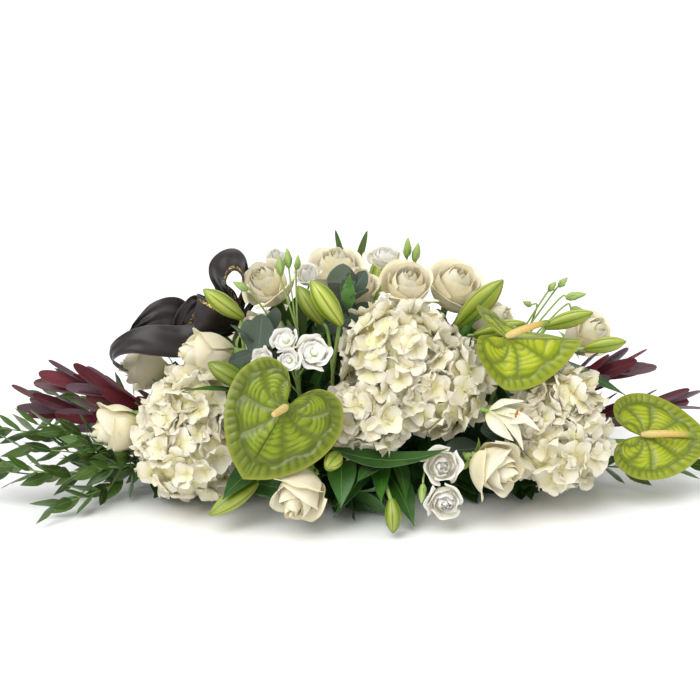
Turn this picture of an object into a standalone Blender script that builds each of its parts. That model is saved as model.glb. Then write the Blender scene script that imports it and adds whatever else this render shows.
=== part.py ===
# Funeral flower arrangement: a long low mound of cut flowers and leaves, their stems in wet foam on a tray.
# Lengths are in millimetres until the last step, which scales every mesh to metres.
# +X runs along the arrangement, -Y is its front and +Z is up.
# The origin is the middle of the tray's underside.

from math import cos, pi, radians, sin, sqrt

import bmesh
import bpy
from mathutils import Matrix, Vector, noise
from mathutils.bvhtree import BVHTree

MM = 0.001
UP = Vector((0, 0, 1))
CREASE = radians(35)

# Tray and foam
FOAM_SIZE = Vector((450, 110, 97))
TRAY_FLOOR = 3.0
TRAY_WALL = 2.0
TRAY_HEIGHT = 28.0
TRAY_CLEARANCE = 8.0
TRAY_FLARE = 5.0
TRAY_CORNER = 12.0
SEAT_GAP = 0.3
HOLE_GAP = 0.4
FOAM_BOTTOM = TRAY_FLOOR + SEAT_GAP

# Stems: each runs straight through a plain hole in the foam and bends only once it is clear of it
STEM_SIDES = 3
OUT_OF_FOAM = 6.0
FORK_SPACING = 0.14
ROSE_STEM_RADIUS = 3.0
LILY_STEM_RADIUS = 2.6
LISIANTHUS_STEM_RADIUS = 2.0
TWIG_RADIUS = 1.3
ANTHURIUM_STEM_RADIUS = 2.8
HYDRANGEA_STEM_RADIUS = 3.4
PICK_RADIUS = 1.6
SUNK = 3.0

# Leaf cross-section: flat across the face and this thick along the midrib, and more with its cup
LEAF_THICKNESS = 1.3

# Soft pieces keep these distances from a bloom, a stem or the table, and a leaf bends no further than this
LEAF_CLEARANCE = 2.5
HEAD_CLEARANCE = 3.2
TABLE_GAP = 1.2
MOST_BEND = 17.0

# Roses: middle of the bloom, way it faces (degrees round from the front, degrees up),
# width, height, end of the stem in the foam. A node may hold two roses that lie against each other.
ROSES = {
    "rose_left_low": [((-268, -94, 94), (-75, -12), 58, 60, (-195, -32, 62))],
    "rose_left_mid": [((-162, -80, 180), (-66, 6), 54, 70, (-146, -36, 60))],
    "rose_left_top": [
        ((-97, 0, 240), (-35, 42), 56, 58, (-94, 12, 60)),
        ((-104, -34, 194), (-60, 14), 46, 56, (-94, 12, 60)),
    ],
    "rose_top_left": [((-18, 40, 246), (-15, 66), 62, 60, (-28, 24, 60))],
    "rose_top_behind": [((11, -4, 236), (6, 66), 44, 54, (8, 2, 60))],
    "rose_top_centre": [((68, -18, 244), (8, 56), 60, 56, (58, -4, 60))],
    "rose_top_right": [
        ((124, 18, 232), (25, 56), 64, 60, (106, 22, 60)),
        ((170, 40, 186), (65, 32), 52, 56, (106, 22, 60)),
    ],
    "rose_front": [((-56, -190, 52), (-18, -32), 56, 66, (-46, -25, 50))],
    "rose_front_right": [((162, -166, 73), (46, -4), 58, 64, (128, -25, 52))],
    "rose_right": [((284, 22, 172), (50, 38), 56, 60, (190, 26, 60))],
    "rose_ribbon": [((-246, 10, 134), (-88, 4), 48, 62, (-190, 18, 60))],
    "rose_back_left": [((-158, 118, 112), (205, 18), 60, 58, (-130, 25, 60))],
    "rose_back_right": [((84, 118, 146), (165, 24), 60, 58, (64, 25, 60))],
}

# Lisianthus sprays: blooms (middle, facing, width, height), buds (base, tip, radius), stem end in the foam
LISIANTHUS = {
    "lisianthus_centre": {
        "blooms": [
            ((-40, -142, 201), (6, 28), 34, 26),
            ((-72, -120, 208), (-22, 38), 28, 24),
            ((-68, -158, 196), (2, 22), 24, 24),
            ((-98, -134, 188), (-34, 30), 25, 24),
        ],
        "buds": [],
        "fork": (-62, -92, 154),
        "root": (-52, -36, 60),
    },
    "lisianthus_front": {
        "blooms": [
            ((103, -172, 76), (4, 16), 40, 30),
            ((106, -184, 39), (6, -4), 38, 30),
        ],
        "buds": [((82, -180, 58), (80, -194, 40), 4.5)],
        "fork": (90, -132, 64),
        "root": (88, -25, 50),
    },
    "lisianthus_top_left": {
        "blooms": [
            ((-50, -6, 255), (-4, 62), 32, 24),
            ((-88, 42, 262), (-20, 62), 22, 28),
        ],
        "buds": [],
        "fork": (-62, 26, 196),
        "root": (-60, 24, 60),
    },
    "lisianthus_buds_left": {
        "blooms": [],
        "buds": [
            ((-80, -44, 264), (-82, -46, 288), 5.0),
            ((-71, -40, 272), (-73, -42, 296), 4.6),
            ((-62, -40, 270), (-60, -42, 288), 3.6),
            ((-118, -66, 252), (-134, -72, 264), 4.5),
        ],
        "fork": (-62, -44, 200),
        "root": (-58, -40, 60),
    },
    "lisianthus_top": {
        "blooms": [((42, 48, 262), (0, 74), 40, 24)],
        "buds": [((68, 48, 262), (70, 44, 288), 5.0), ((78, 44, 258), (82, 42, 282), 5.0)],
        "fork": (46, 44, 204),
        "root": (40, 36, 60),
    },
    "lisianthus_right": {
        "blooms": [],
        "buds": [
            ((236, -2, 234), (244, -4, 246), 4.0),
            ((248, 2, 238), (258, 0, 250), 4.0),
            ((256, -4, 226), (280, -8, 232), 5.0),
            ((262, 0, 212), (282, -4, 208), 4.0),
            ((216, 4, 214), (206, 2, 220), 3.5),
        ],
        "fork": (210, 4, 190),
        "root": (176, 4, 60),
    },
}

# Lily stems: buds (base, tip, radius), leaves (tip, way the face looks, width), a point that the stem
# passes and its end in the foam
LILIES = {
    "lily_bud_left_top": {
        "buds": [((-124, -66, 219), (-168, -76, 256), 11)],
        "leaves": [((-128, -108, 150), (-20, 50), 18)],
        "by": (-122, -68, 170),
        "root": (-112, -38, 64),
    },
    "lily_buds_middle": {
        "buds": [((-10, -96, 220), (-44, -96, 272), 13), ((-32, -72, 214), (-60, -68, 258), 11)],
        "leaves": [((-18, -48, 264), (10, 30), 16)],
        "by": (-20, -66, 150),
        "root": (-18, -30, 60),
    },
    "lily_buds_right_top": {
        "buds": [((126, -24, 196), (178, -42, 258), 14), ((146, -34, 188), (206, -38, 205), 10)],
        "leaves": [((150, -70, 226), (-10, 40), 13)],
        "by": (124, -22, 150),
        "root": (128, -6, 60),
    },
    "lily_buds_right": {
        "buds": [((228, -38, 200), (284, -44, 219), 10), ((274, -52, 178), (322, -58, 188), 9.5)],
        "leaves": [((322, -68, 126), (10, 40), 17)],
        "by": (208, -34, 160),
        "root": (186, -24, 60),
    },
    "lily_bud_left": {
        "buds": [((-116, -130, 158), (-160, -134, 186), 12)],
        "leaves": [((-186, -156, 160), (0, 60), 8)],
        "by": (-108, -100, 130),
        "root": (-92, -40, 60),
    },
    "lily_bud_front_left": {
        "buds": [((-106, -156, 50), (-158, -190, 24), 11)],
        "leaves": [((-142, -196, 46), (-20, 50), 30)],
        "by": (-94, -110, 58),
        "root": (-94, -25, 52),
    },
    "lily_bud_front": {
        "buds": [((46, -190, 44), (48, -204, 8), 9.5)],
        "leaves": [
            ((84, -190, 78), (8, 20), 26),
            ((8, -200, 68), (-20, 30), 22),
            ((72, -186, 10), (20, 50), 34),
            ((-18, -190, 22), (0, 60), 18),
        ],
        "by": (36, -120, 54),
        "root": (40, -25, 48),
    },
    "lily_bud_middle_low": {
        "buds": [((-14, -166, 88), (-26, -204, 86), 10)],
        "leaves": [((-10, -202, 38), (0, 50), 34)],
        "by": (-8, -110, 76),
        "root": (-4, -25, 56),
    },
    "lily_buds_back": {
        "buds": [((30, 118, 190), (44, 142, 246), 12), ((8, 116, 178), (-22, 146, 214), 11)],
        "leaves": [((60, 156, 176), (170, 50), 24)],
        "by": (20, 96, 140),
        "root": (16, 25, 70),
    },
}

# The lily that is opening: base, middle of its mouth, stem end in the foam
OPEN_LILY = {"base": (154, -140, 131), "mouth": (212, -164, 128), "root": (176, -25, 74)}
TEPALS = 6
OPEN_LILY_SPREAD = 22

# Anthuriums: foot of the spadix, way the face looks, turn of the tip in the face's plane (0 is up, degrees
# clockwise), length from foot to tip, width, fold of each half (degrees), end of the spadix, stem end in
# the foam
ANTHURIUMS = {
    "anthurium_front": {
        "foot": (-70, -188, 152), "face": (-4, 16), "turn": 210, "length": 94, "width": 134,
        "fold": 8, "spadix": (-84, -220, 153), "root": (-70, -25, 64),
    },
    "anthurium_right": {
        "foot": (178, -112, 208), "face": (0, 62), "turn": 92, "length": 86, "width": 122,
        "fold": 40, "spadix": (226, -120, 230), "root": (152, -36, 50),
    },
    "anthurium_far": {
        "foot": (342, -76, 78), "face": (4, 44), "turn": 96, "length": 82, "width": 112,
        "fold": 6, "spadix": (404, -96, 86), "root": (196, -14, 56),
    },
}
SPADIX_RADIUS = 4.5
SPADIX_SIDES = 6
SPADIX_PROFILE = ((0.0, 0.35), (0.12, 1.0), (0.6, 0.95), (0.92, 0.75), (1.0, 0.35))

# Hydrangea heads: the balls that the head fills, the way it faces, its florets, stem end in the foam
HYDRANGEAS = {
    "hydrangea_left": {
        "balls": [((-178, -104, 124), 50), ((-184, -116, 78), 62)],
        "face": (-15, 0), "florets": 23, "root": (-168, -25, 66),
    },
    "hydrangea_centre": {
        "balls": [((52, -88, 182), 64), ((104, -100, 146), 57)],
        "face": (5, 20), "florets": 29, "root": (80, -40, 60),
    },
    "hydrangea_low": {
        "balls": [((20, -132, 122), 47)],
        "face": (-8, 0), "florets": 13, "root": (20, -25, 76),
    },
    "hydrangea_right": {
        "balls": [((242, -98, 126), 48), ((238, -110, 84), 58)],
        "face": (12, 0), "florets": 22, "root": (206, -25, 70),
    },
    "hydrangea_back": {
        "balls": [((-62, 108, 132), 56), ((-20, 114, 104), 50)],
        "face": (180, 10), "florets": 20, "root": (-34, 25, 66),
    },
    "hydrangea_back_right": {
        "balls": [((166, 104, 104), 50)],
        "face": (165, 10), "florets": 12, "root": (146, 25, 66),
    },
}

# Leafy branches: kind of leaf, leaf count, seed of the leaves' turn round the stem, stem radius,
# and stem points from its end in the foam outwards
BRANCHES = {
    "leucadendron_left_upper": {
        "kind": "leucadendron", "leaves": 9, "seed": 3, "radius": 3.0,
        "stem": [(-196, -8, 76), (-236, -34, 96), (-276, -44, 118), (-308, -44, 128)],
    },
    "leucadendron_left_lower": {
        "kind": "leucadendron", "leaves": 9, "seed": 5, "radius": 3.0,
        "stem": [(-196, -18, 50), (-240, -22, 64), (-300, -30, 84), (-346, -34, 98)],
    },
    "leucadendron_right_upper": {
        "kind": "leucadendron", "leaves": 9, "seed": 8, "radius": 3.0,
        "stem": [(196, 4, 74), (236, -4, 100), (276, -10, 124), (306, -14, 136)],
    },
    "leucadendron_right_lower": {
        "kind": "leucadendron", "leaves": 9, "seed": 12, "radius": 3.0,
        "stem": [(196, 8, 46), (244, 4, 60), (320, -6, 84), (372, -12, 96)],
    },
    "leucadendron_back": {
        "kind": "leucadendron", "leaves": 9, "seed": 21, "radius": 3.0,
        "stem": [(196, 34, 60), (236, 60, 72), (270, 96, 80), (300, 120, 86)],
    },
    "ruscus_left": {
        "kind": "ruscus", "leaves": 13, "seed": 2, "radius": 1.6,
        "stem": [(-196, -40, 40), (-244, -64, 36), (-340, -96, 36), (-440, -92, 44)],
    },
    "ruscus_front_left": {
        "kind": "ruscus", "leaves": 9, "seed": 2, "radius": 1.6,
        "stem": [(-204, 0, 36), (-240, -36, 30), (-290, -112, 24), (-340, -150, 20)],
    },
    "ruscus_right": {
        "kind": "ruscus", "leaves": 10, "seed": 6, "radius": 1.6,
        "stem": [(196, -34, 42), (248, -44, 36), (330, -48, 28), (430, -60, 40)],
    },
    "ruscus_back": {
        "kind": "ruscus", "leaves": 11, "seed": 9, "radius": 1.6,
        "stem": [(-196, 34, 46), (-240, 60, 54), (-310, 92, 58), (-380, 104, 40)],
    },
    "eucalyptus_left": {
        "kind": "eucalyptus", "leaves": 7, "seed": 2, "radius": 1.8,
        "stem": [(-78, -44, 60), (-84, -62, 110), (-98, -88, 165), (-110, -96, 206)],
    },
    "eucalyptus_top": {
        "kind": "eucalyptus", "leaves": 5, "seed": 5, "radius": 1.8,
        "stem": [(-4, -16, 60), (-4, -14, 130), (0, -34, 205), (4, -46, 250)],
    },
    "eucalyptus_front": {
        "kind": "eucalyptus", "leaves": 4, "seed": 7, "radius": 1.8,
        "stem": [(184, -25, 52), (188, -62, 60), (184, -94, 72), (176, -120, 84)],
    },
    "salal_front": {
        "kind": "salal", "leaves": 4, "seed": 3, "radius": 2.0,
        "stem": [(-24, -25, 46), (-26, -60, 44), (-16, -96, 34), (4, -128, 24)],
    },
    "salal_back": {
        "kind": "salal", "leaves": 9, "seed": 4, "radius": 2.2,
        "stem": [(-84, 25, 60), (-92, 68, 66), (-144, 92, 66), (-206, 96, 40)],
    },
    "salal_back_right": {
        "kind": "salal", "leaves": 8, "seed": 8, "radius": 2.2,
        "stem": [(104, 25, 50), (98, 68, 50), (64, 100, 44), (0, 136, 26)],
    },
    "salal_top": {
        "kind": "salal", "leaves": 12, "seed": 5, "radius": 2.2,
        "stem": [(-152, 4, 80), (-150, 10, 118), (-100, 51, 143), (-34, 84, 156)],
    },
}

# Each kind of leaf: length, width, lean from the stem (degrees), first leaf's place along the stem, turn
# round the stem from one leaf to the next (degrees), place of the widest part, cup as a share of the
# width, and material
LEAF_KINDS = {
    "leucadendron": {
        "long": 74, "wide": 19, "lean": 26, "first": 0.34, "turn": 137.5, "shoulder": 0.62, "cup": 0.12,
        "material": "burgundy_leaf",
    },
    "ruscus": {
        "long": 46, "wide": 16, "lean": 46, "first": 0.26, "turn": 165, "shoulder": 0.42, "cup": 0.05,
        "material": "leaf_green",
    },
    "eucalyptus": {
        "long": 34, "wide": 27, "lean": 62, "first": 0.38, "turn": 90, "shoulder": 0.5, "cup": 0.06,
        "material": "grey_leaf",
    },
    "salal": {
        "long": 62, "wide": 40, "lean": 52, "first": 0.3, "turn": 140, "shoulder": 0.42, "cup": 0.06,
        "material": "leaf_green",
    },
}

# Ribbon: width, thickness, the wire pick that holds the knot in the foam, and each loop's centre line from
# the knot, with the way its width lies
RIBBON_WIDTH = 36.0
RIBBON_THICKNESS = 1.0
RIBBON_GATHER = 0.2
RIBBON_KNOT_RADIUS = 8.0
RIBBON_KNOT = Vector((-137, 8, 190))
RIBBON_ROOT = (-136, 20, 60)
RIBBON_LOOPS = [
    {
        "line": [(-2, 0, 5), (-22, 4, 44), (-30, 2, 78), (-12, 0, 93), (1, 4, 76), (3, 8, 36), (2, 2, 5)],
        "side": (4, -30, -12),
    },
    {
        "line": [(-3, -4, 2), (-24, -34, 10), (-50, -42, 26), (-62, -22, 36), (-40, 2, 28), (-4, 4, 2)],
        "side": (12, -6, 30),
    },
    {
        "line": [
            (-3, -4, -3), (-34, -32, -10), (-90, -40, -22),
            (-130, -34, -30), (-148, -16, -34), (-150, 2, -38),
        ],
        "side": (-2, -10, 30),
    },
    {
        "line": [(-3, 5, 2), (-60, 24, 24), (-88, 26, 32), (-114, 14, 10), (-122, 10, -8)],
        "side": (0, -30, -10),
    },
]

# Balls (middle, radius) that later pieces are bent clear of, and the stems' holes in the foam: filled in as
# the pieces are made
obstacles = []
stem_sockets = []


def direction(facing):
    """Unit vector from degrees round from the front (-Y, towards +X) and degrees up."""
    around, up = (radians(a) for a in facing)
    return Vector((sin(around) * cos(up), -cos(around) * cos(up), sin(up)))


def frame_at(origin, z_axis, x_hint=None):
    """Matrix that takes local +Z to z_axis, with local +X near x_hint."""
    z = Vector(z_axis).normalized()
    hint = Vector(x_hint) if x_hint is not None else UP.cross(z)
    if hint.cross(z).length < 1e-4:
        hint = Vector((1, 0, 0))
    y = z.cross(hint).normalized()
    x = y.cross(z)
    matrix = Matrix((x, y, z)).transposed().to_4x4()
    matrix.translation = Vector(origin)
    return matrix


def loft(rings):
    """Closed mesh through rings of points. A ring of one point closes an end, and any other end is capped."""
    bm = bmesh.new()
    rows = [[bm.verts.new(p) for p in ring] for ring in rings]
    for low, high in zip(rows, rows[1:]):
        count = max(len(low), len(high))
        for i in range(count):
            j = (i + 1) % count
            if len(low) == 1:
                bm.faces.new((low[0], high[j], high[i]))
            elif len(high) == 1:
                bm.faces.new((low[i], low[j], high[0]))
            else:
                bm.faces.new((low[i], low[j], high[j], high[i]))
    if len(rows[0]) > 1:
        bm.faces.new(reversed(rows[0]))
    if len(rows[-1]) > 1:
        bm.faces.new(rows[-1])
    bmesh.ops.recalc_face_normals(bm, faces=bm.faces)
    bmesh.ops.triangulate(bm, faces=bm.faces)
    return bm


def placed(bm, matrix):
    bmesh.ops.transform(bm, matrix=matrix, verts=bm.verts)
    return bm


def smooth_path(points, steps=2):
    """Points on a Catmull-Rom curve through points, steps to each span; the first span stays straight."""
    points = [Vector(p) for p in points]
    ends = [points[0] * 2 - points[1]] + points + [points[-1] * 2 - points[-2]]
    path = [points[0], points[1]]
    for i in range(1, len(points) - 1):
        a, b, c, d = ends[i : i + 4]
        for k in range(1, steps + 1):
            t = k / steps
            square = (2 * a - 5 * b + 4 * c - d) * t * t
            cube = (3 * b - a - 3 * c + d) * t**3
            path.append(0.5 * (2 * b + (c - a) * t + square + cube))
    return path


def along_path(path, share):
    """Point at a share of the path's length."""
    lengths = [(b - a).length for a, b in zip(path, path[1:])]
    left = share * sum(lengths)
    for a, b, length in zip(path, path[1:], lengths):
        if left <= length:
            return a.lerp(b, left / length)
        left -= length
    return path[-1]


def tube_rings(path, radii, sides):
    """Rings round a path, carried along it without twist."""
    rings = []
    x_axis = frame_at((0, 0, 0), path[1] - path[0]).to_3x3() @ Vector((1, 0, 0))
    for i, point in enumerate(path):
        before = path[max(i - 1, 0)]
        after = path[min(i + 1, len(path) - 1)]
        along = (after - before).normalized()
        x_axis = (x_axis - along * x_axis.dot(along)).normalized()
        y_axis = along.cross(x_axis)
        turns = [2 * pi * k / sides for k in range(sides)]
        rings.append([point + radii[i] * (x_axis * cos(t) + y_axis * sin(t)) for t in turns])
    return rings


def leaves_foam_at(root, towards):
    """Where the line from root towards a point is OUT_OF_FOAM clear of the foam."""
    root = Vector(root)
    along = (Vector(towards) - root).normalized()
    out = Vector((OUT_OF_FOAM,) * 3)
    low = Vector((-FOAM_SIZE.x / 2, -FOAM_SIZE.y / 2, FOAM_BOTTOM)) - out
    high = low + FOAM_SIZE + out * 2
    reaches = []
    for i in range(3):
        if abs(along[i]) > 1e-6:
            face = high if along[i] > 0 else low
            reaches.append((face[i] - root[i]) / along[i])
    return root + along * min(reaches)


def stem_path(root, base, facing):
    """Straight out of the foam towards the bloom, then a bend that meets the bloom's base from behind."""
    root, base = Vector(root), Vector(base)
    behind = base - direction(facing) * 0.3 * (base - root).length
    out = leaves_foam_at(root, behind)
    reach = (base - out).length
    handle_out = out + (out - root).normalized() * reach * 0.35
    handle_in = base - direction(facing) * reach * 0.35
    halfway = (out + 3 * handle_out + 3 * handle_in + base) / 8
    return [root, out, halfway, base, base + direction(facing) * SUNK]


def stem(path, radius, taper=1.0):
    """Stem solid along a path whose first span is in the foam, and the plain hole for that span."""
    count = len(path)
    radii = [radius * (1 + (taper - 1) * max(i - 1, 0) / (count - 2)) for i in range(count)]
    along = (path[1] - path[0]).normalized()
    socket = [path[0] - along * HOLE_GAP, path[1]]
    wide = radius + HOLE_GAP / cos(pi / STEM_SIDES)
    stem_sockets.append(tube_rings(socket, [wide, wide], STEM_SIDES))
    return loft(tube_rings(path, radii, STEM_SIDES))


def keep_round(point, radius):
    obstacles.append((Vector(point), radius))


def keep_along(start, end, radius):
    start, end = Vector(start), Vector(end)
    steps = max(1, int((end - start).length / max(radius, 3)))
    for k in range(steps + 1):
        keep_round(start.lerp(end, k / steps), radius)


def keep_stem(path, radius):
    """Later pieces keep clear of the stem outside the foam."""
    for a, b in zip(path[1:-1], path[2:]):
        keep_along(a, b, radius)


def shift_clear(points, margin):
    """How far to move a ring of points together so that it clears the obstacles by margin, and the table."""
    shift = Vector()
    for _ in range(3):
        for centre, radius in obstacles:
            for point in points:
                away = point + shift - centre
                short = radius + margin - away.length
                if short > 0:
                    shift += away.normalized() * short
    lowest = min(p.z for p in points) + shift.z
    shift.z += max(0.0, TABLE_GAP - lowest)
    return shift


def leaf(base, tip, face, width, shoulder=0.45, cup=0.05, arch=0.12, small=False):
    """Blade from base to tip, cupped along its midrib, widest at shoulder and arched along its length.

    It is bent clear of its neighbours. Where there is too little room for it there is no leaf.
    """
    base, tip = Vector(base), Vector(tip)
    along = tip - base
    normal = Vector(face)
    normal = (normal - along.normalized() * normal.dot(along.normalized())).normalized()
    side = along.normalized().cross(normal)
    rings = [[base]]
    shares = [(shoulder * 0.4, 0.68), (shoulder, 1.0), ((1 + shoulder) / 2, 0.74)]
    if small:
        shares = [(shoulder * 0.6, 0.88), ((1 + shoulder) / 2, 0.88)]
    for share, wide in shares:
        rise = arch * along.length * 4 * share * (1 - share)
        middle = base + along * share + normal * rise
        half = side * width * wide / 2
        keel = normal * (LEAF_THICKNESS + width * wide * cup)
        rings.append([middle - half, middle - keel, middle + half])
    rings.append([tip])
    shifts = [shift_clear(ring, LEAF_CLEARANCE) for ring in rings[1:]]
    if max(shift.length for shift in shifts) > MOST_BEND:
        return None
    return loft([rings[0]] + [[p + shift for p in ring] for ring, shift in zip(rings[1:], shifts)])


# Profiles of buds: share of the length, share of the radius
LILY_BUD = ((0.08, 0.46), (0.38, 0.97), (0.66, 0.9), (0.92, 0.36))
SMALL_BUD = ((0.22, 0.95), (0.7, 0.75))
BUD_GROOVE = 0.84


def bud(base, tip, radius, profile, sides):
    """Bud from base to tip, with a groove at every second side, where the tepals meet."""
    base, tip = Vector(base), Vector(tip)
    length = (tip - base).length
    rings = [[Vector((0, 0, 0))]]
    for share, wide in profile:
        ring = []
        for k in range(sides):
            r = radius * wide * (BUD_GROOVE if k % 2 == 0 else 1.0)
            around = 2 * pi * k / sides
            ring.append(Vector((r * cos(around), r * sin(around), length * share)))
        rings.append(ring)
    rings.append([Vector((0, 0, length))])
    keep_along(base.lerp(tip, 0.2), base.lerp(tip, 0.8), radius + 1)
    return placed(loft(rings), frame_at(base, tip - base))


# Rings of a bloom from its base over each layer's rim to its middle: share of the radius, share of the
# height, and which petals the ring belongs to (0 for a groove between two layers, odd and even layers are
# turned half a petal)
ROSE_RINGS = (
    (0.82, 0.26, 1), (1.0, 0.72, 1), (0.68, 0.56, 0), (0.64, 0.92, 2), (0.40, 0.68, 0), (0.28, 1.0, 3),
)
LISIANTHUS_RINGS = ((0.62, 0.46, 1), (1.0, 0.88, 1), (0.58, 0.66, 0), (0.54, 0.97, 2), (0.20, 0.66, 0))
PETALS_IN_LAYER = 5
PETAL_OVERLAP = 0.3
PETAL_SWELL = 0.05
BLOOM_MIDDLE = 0.8


def bloom(centre, facing, across, tall, rings):
    """Turned bloom with scalloped petal rims and a groove between layers, one closed surface."""
    points = [[Vector((0, 0, 0))]]
    sides = 2 * PETALS_IN_LAYER
    for share, height, layer in rings:
        ring = []
        for k in range(sides):
            on_petal = (k + layer) % 2 == 0
            swell = PETAL_SWELL if on_petal else -PETAL_SWELL
            if layer == 0:
                swell = 0.0
            radius = across / 2 * share * (1 + swell)
            around = pi * (k + (0.0 if on_petal else PETAL_OVERLAP)) / PETALS_IN_LAYER
            rise = tall * (height + swell * share)
            ring.append(Vector((radius * cos(around), radius * sin(around), rise)))
        points.append(ring)
    points.append([Vector((0, 0, tall * BLOOM_MIDDLE))])
    base = Vector(centre) - direction(facing) * tall / 2
    return placed(loft(points), frame_at(base, direction(facing)))


def to_object(name, bm, material):
    bmesh.ops.triangulate(bm, faces=bm.faces)
    bmesh.ops.scale(bm, vec=(MM, MM, MM), verts=bm.verts)
    mesh = bpy.data.meshes.new(name)
    bm.to_mesh(mesh)
    bm.free()
    mesh.materials.append(material)
    obj = bpy.data.objects.new(name, mesh)
    bpy.context.scene.collection.objects.link(obj)
    return obj


def shade(obj):
    """Smooth shading, broken along creases."""
    obj.data.shade_smooth()
    obj.data.set_sharp_from_angle(angle=CREASE)
    return obj


def joined(name, pieces, material, operation="UNION", solver="EXACT"):
    """One object from the first piece and the rest, joined to it or cut from it by one Boolean."""
    first = to_object(name, pieces[0], material)
    if len(pieces) == 1:
        return shade(first)
    others = bpy.data.collections.new(name + "_rest")
    bpy.context.scene.collection.children.link(others)
    for k, piece in enumerate(pieces[1:]):
        other = to_object(f"{name}_rest_{k}", piece, material)
        bpy.context.scene.collection.objects.unlink(other)
        others.objects.link(other)
    boolean = first.modifiers.new("join", "BOOLEAN")
    boolean.operation = operation
    boolean.operand_type = "COLLECTION"
    boolean.collection = others
    boolean.solver = solver
    graph = bpy.context.evaluated_depsgraph_get()
    mesh = bpy.data.meshes.new_from_object(first.evaluated_get(graph))
    first.modifiers.clear()
    first.data = mesh
    for other in list(others.objects):
        bpy.data.objects.remove(other)
    bpy.data.collections.remove(others)
    return shade(first)


def material(name, colour, roughness):
    made = bpy.data.materials.new(name)
    made.use_nodes = True
    shader = made.node_tree.nodes["Principled BSDF"]
    shader.inputs["Base Color"].default_value = (*colour, 1)
    shader.inputs["Roughness"].default_value = roughness
    shader.inputs["Metallic"].default_value = 0.0
    return made


def make_materials():
    looks = {
        "cream_petal": ((0.88, 0.82, 0.62), 0.6),
        "white_petal": ((0.90, 0.89, 0.84), 0.6),
        "lily_green": ((0.28, 0.45, 0.06), 0.45),
        "leaf_green": ((0.06, 0.17, 0.03), 0.45),
        "spathe_green": ((0.36, 0.56, 0.03), 0.25),
        "spadix_yellow": ((0.85, 0.62, 0.28), 0.6),
        "burgundy_leaf": ((0.13, 0.035, 0.045), 0.5),
        "grey_leaf": ((0.16, 0.25, 0.20), 0.6),
        "black_satin": ((0.025, 0.02, 0.022), 0.4),
        "floral_foam": ((0.07, 0.20, 0.07), 0.95),
        "tray_plastic": ((0.02, 0.06, 0.03), 0.4),
    }
    return {name: material(name, *look) for name, look in looks.items()}


def make_roses(materials):
    for name, roses in ROSES.items():
        pieces = []
        for k, (centre, facing, across, tall, root) in enumerate(roses):
            head = bloom(centre, facing, across, tall, ROSE_RINGS)
            base = Vector(centre) - direction(facing) * tall / 2
            keep_round(Vector(centre) + direction(facing) * tall * 0.08, across * 0.54)
            if k == 0:
                path = stem_path(root, base, facing)
                pieces.append(stem(path, ROSE_STEM_RADIUS))
                keep_stem(path, ROSE_STEM_RADIUS)
            else:
                join = path[-3].lerp(path[-2], 0.5)
                side_path = [join, base - direction(facing) * 14, base + direction(facing) * SUNK]
                pieces.append(loft(tube_rings(side_path, [ROSE_STEM_RADIUS] * 3, STEM_SIDES)))
            pieces.append(head)
        joined(name, pieces, materials["cream_petal"])


def make_lisianthus(materials):
    for name, spray in LISIANTHUS.items():
        fork = Vector(spray["fork"])
        out = leaves_foam_at(spray["root"], fork)
        path = [Vector(spray["root"]), out, fork]
        greens = [stem(path, LISIANTHUS_STEM_RADIUS)]
        keep_stem(path, LISIANTHUS_STEM_RADIUS)
        whites = []
        ends = []
        for centre, facing, across, tall in spray["blooms"]:
            base = Vector(centre) - direction(facing) * tall / 2
            keep_round(Vector(centre) + direction(facing) * 2, across * 0.52)
            whites.append(bloom(centre, facing, across, tall, LISIANTHUS_RINGS))
            ends.append((base, direction(facing)))
        for base, tip, radius in spray["buds"]:
            greens.append(bud(base, tip, radius, SMALL_BUD, 4))
            ends.append((Vector(base), (Vector(tip) - Vector(base)).normalized()))
        for k, (base, way) in enumerate(ends):
            start = fork.lerp(out, FORK_SPACING * k + 0.02)
            behind = base - way * 8
            twig = tube_rings([start, behind, base + way * SUNK], [TWIG_RADIUS] * 3, STEM_SIDES)
            keep_along(behind, base, TWIG_RADIUS)
            keep_along(start, behind, TWIG_RADIUS)
            greens.append(loft(twig))
        joined(name, greens + whites, materials["white_petal" if whites else "lily_green"])


def make_lilies(materials):
    for name, lily in LILIES.items():
        root, by = Vector(lily["root"]), Vector(lily["by"])
        first_base, first_tip = (Vector(end) for end in lily["buds"][0][:2])
        sunk_end = first_base + (first_tip - first_base).normalized() * SUNK
        path = smooth_path([root, leaves_foam_at(root, by), by, sunk_end])
        pieces = [stem(path, LILY_STEM_RADIUS, taper=0.7)]
        for k, (base, tip, radius) in enumerate(lily["buds"]):
            base, tip = Vector(base), Vector(tip)
            along = (tip - base).normalized()
            if k > 0:
                side_path = [by, base - along * 12, base + along * SUNK]
                pieces.append(loft(tube_rings(side_path, [LILY_STEM_RADIUS * 0.75] * 3, STEM_SIDES)))
                keep_along(by, base - along * 12, LILY_STEM_RADIUS)
            pieces.append(bud(base, tip, radius, LILY_BUD, 6))
        for k, (tip, face, width) in enumerate(lily["leaves"]):
            base = along_path(path, 0.7 - 0.1 * k)
            blade = leaf(base, tip, direction(face), width, small=width < 15)
            if blade:
                pieces.append(blade)
                keep_along(base.lerp(Vector(tip), 0.2), base.lerp(Vector(tip), 0.9), width * 0.45)
        keep_stem(path, LILY_STEM_RADIUS)
        joined(name, pieces, materials["lily_green"])


# Rings of the open lily over its outside, its rim and down its inside. Each gives the share of the spread
# and of the length on a tepal's middle, then the same between two tepals.
OPEN_LILY_RINGS = (
    ((0.20, 0.04), (0.20, 0.04)), ((0.44, 0.34), (0.40, 0.34)), ((0.80, 0.72), (0.64, 0.62)),
    ((1.0, 1.0), (0.70, 0.66)), ((0.68, 0.74), (0.56, 0.60)), ((0.24, 0.30), (0.22, 0.30)),
)


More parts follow.
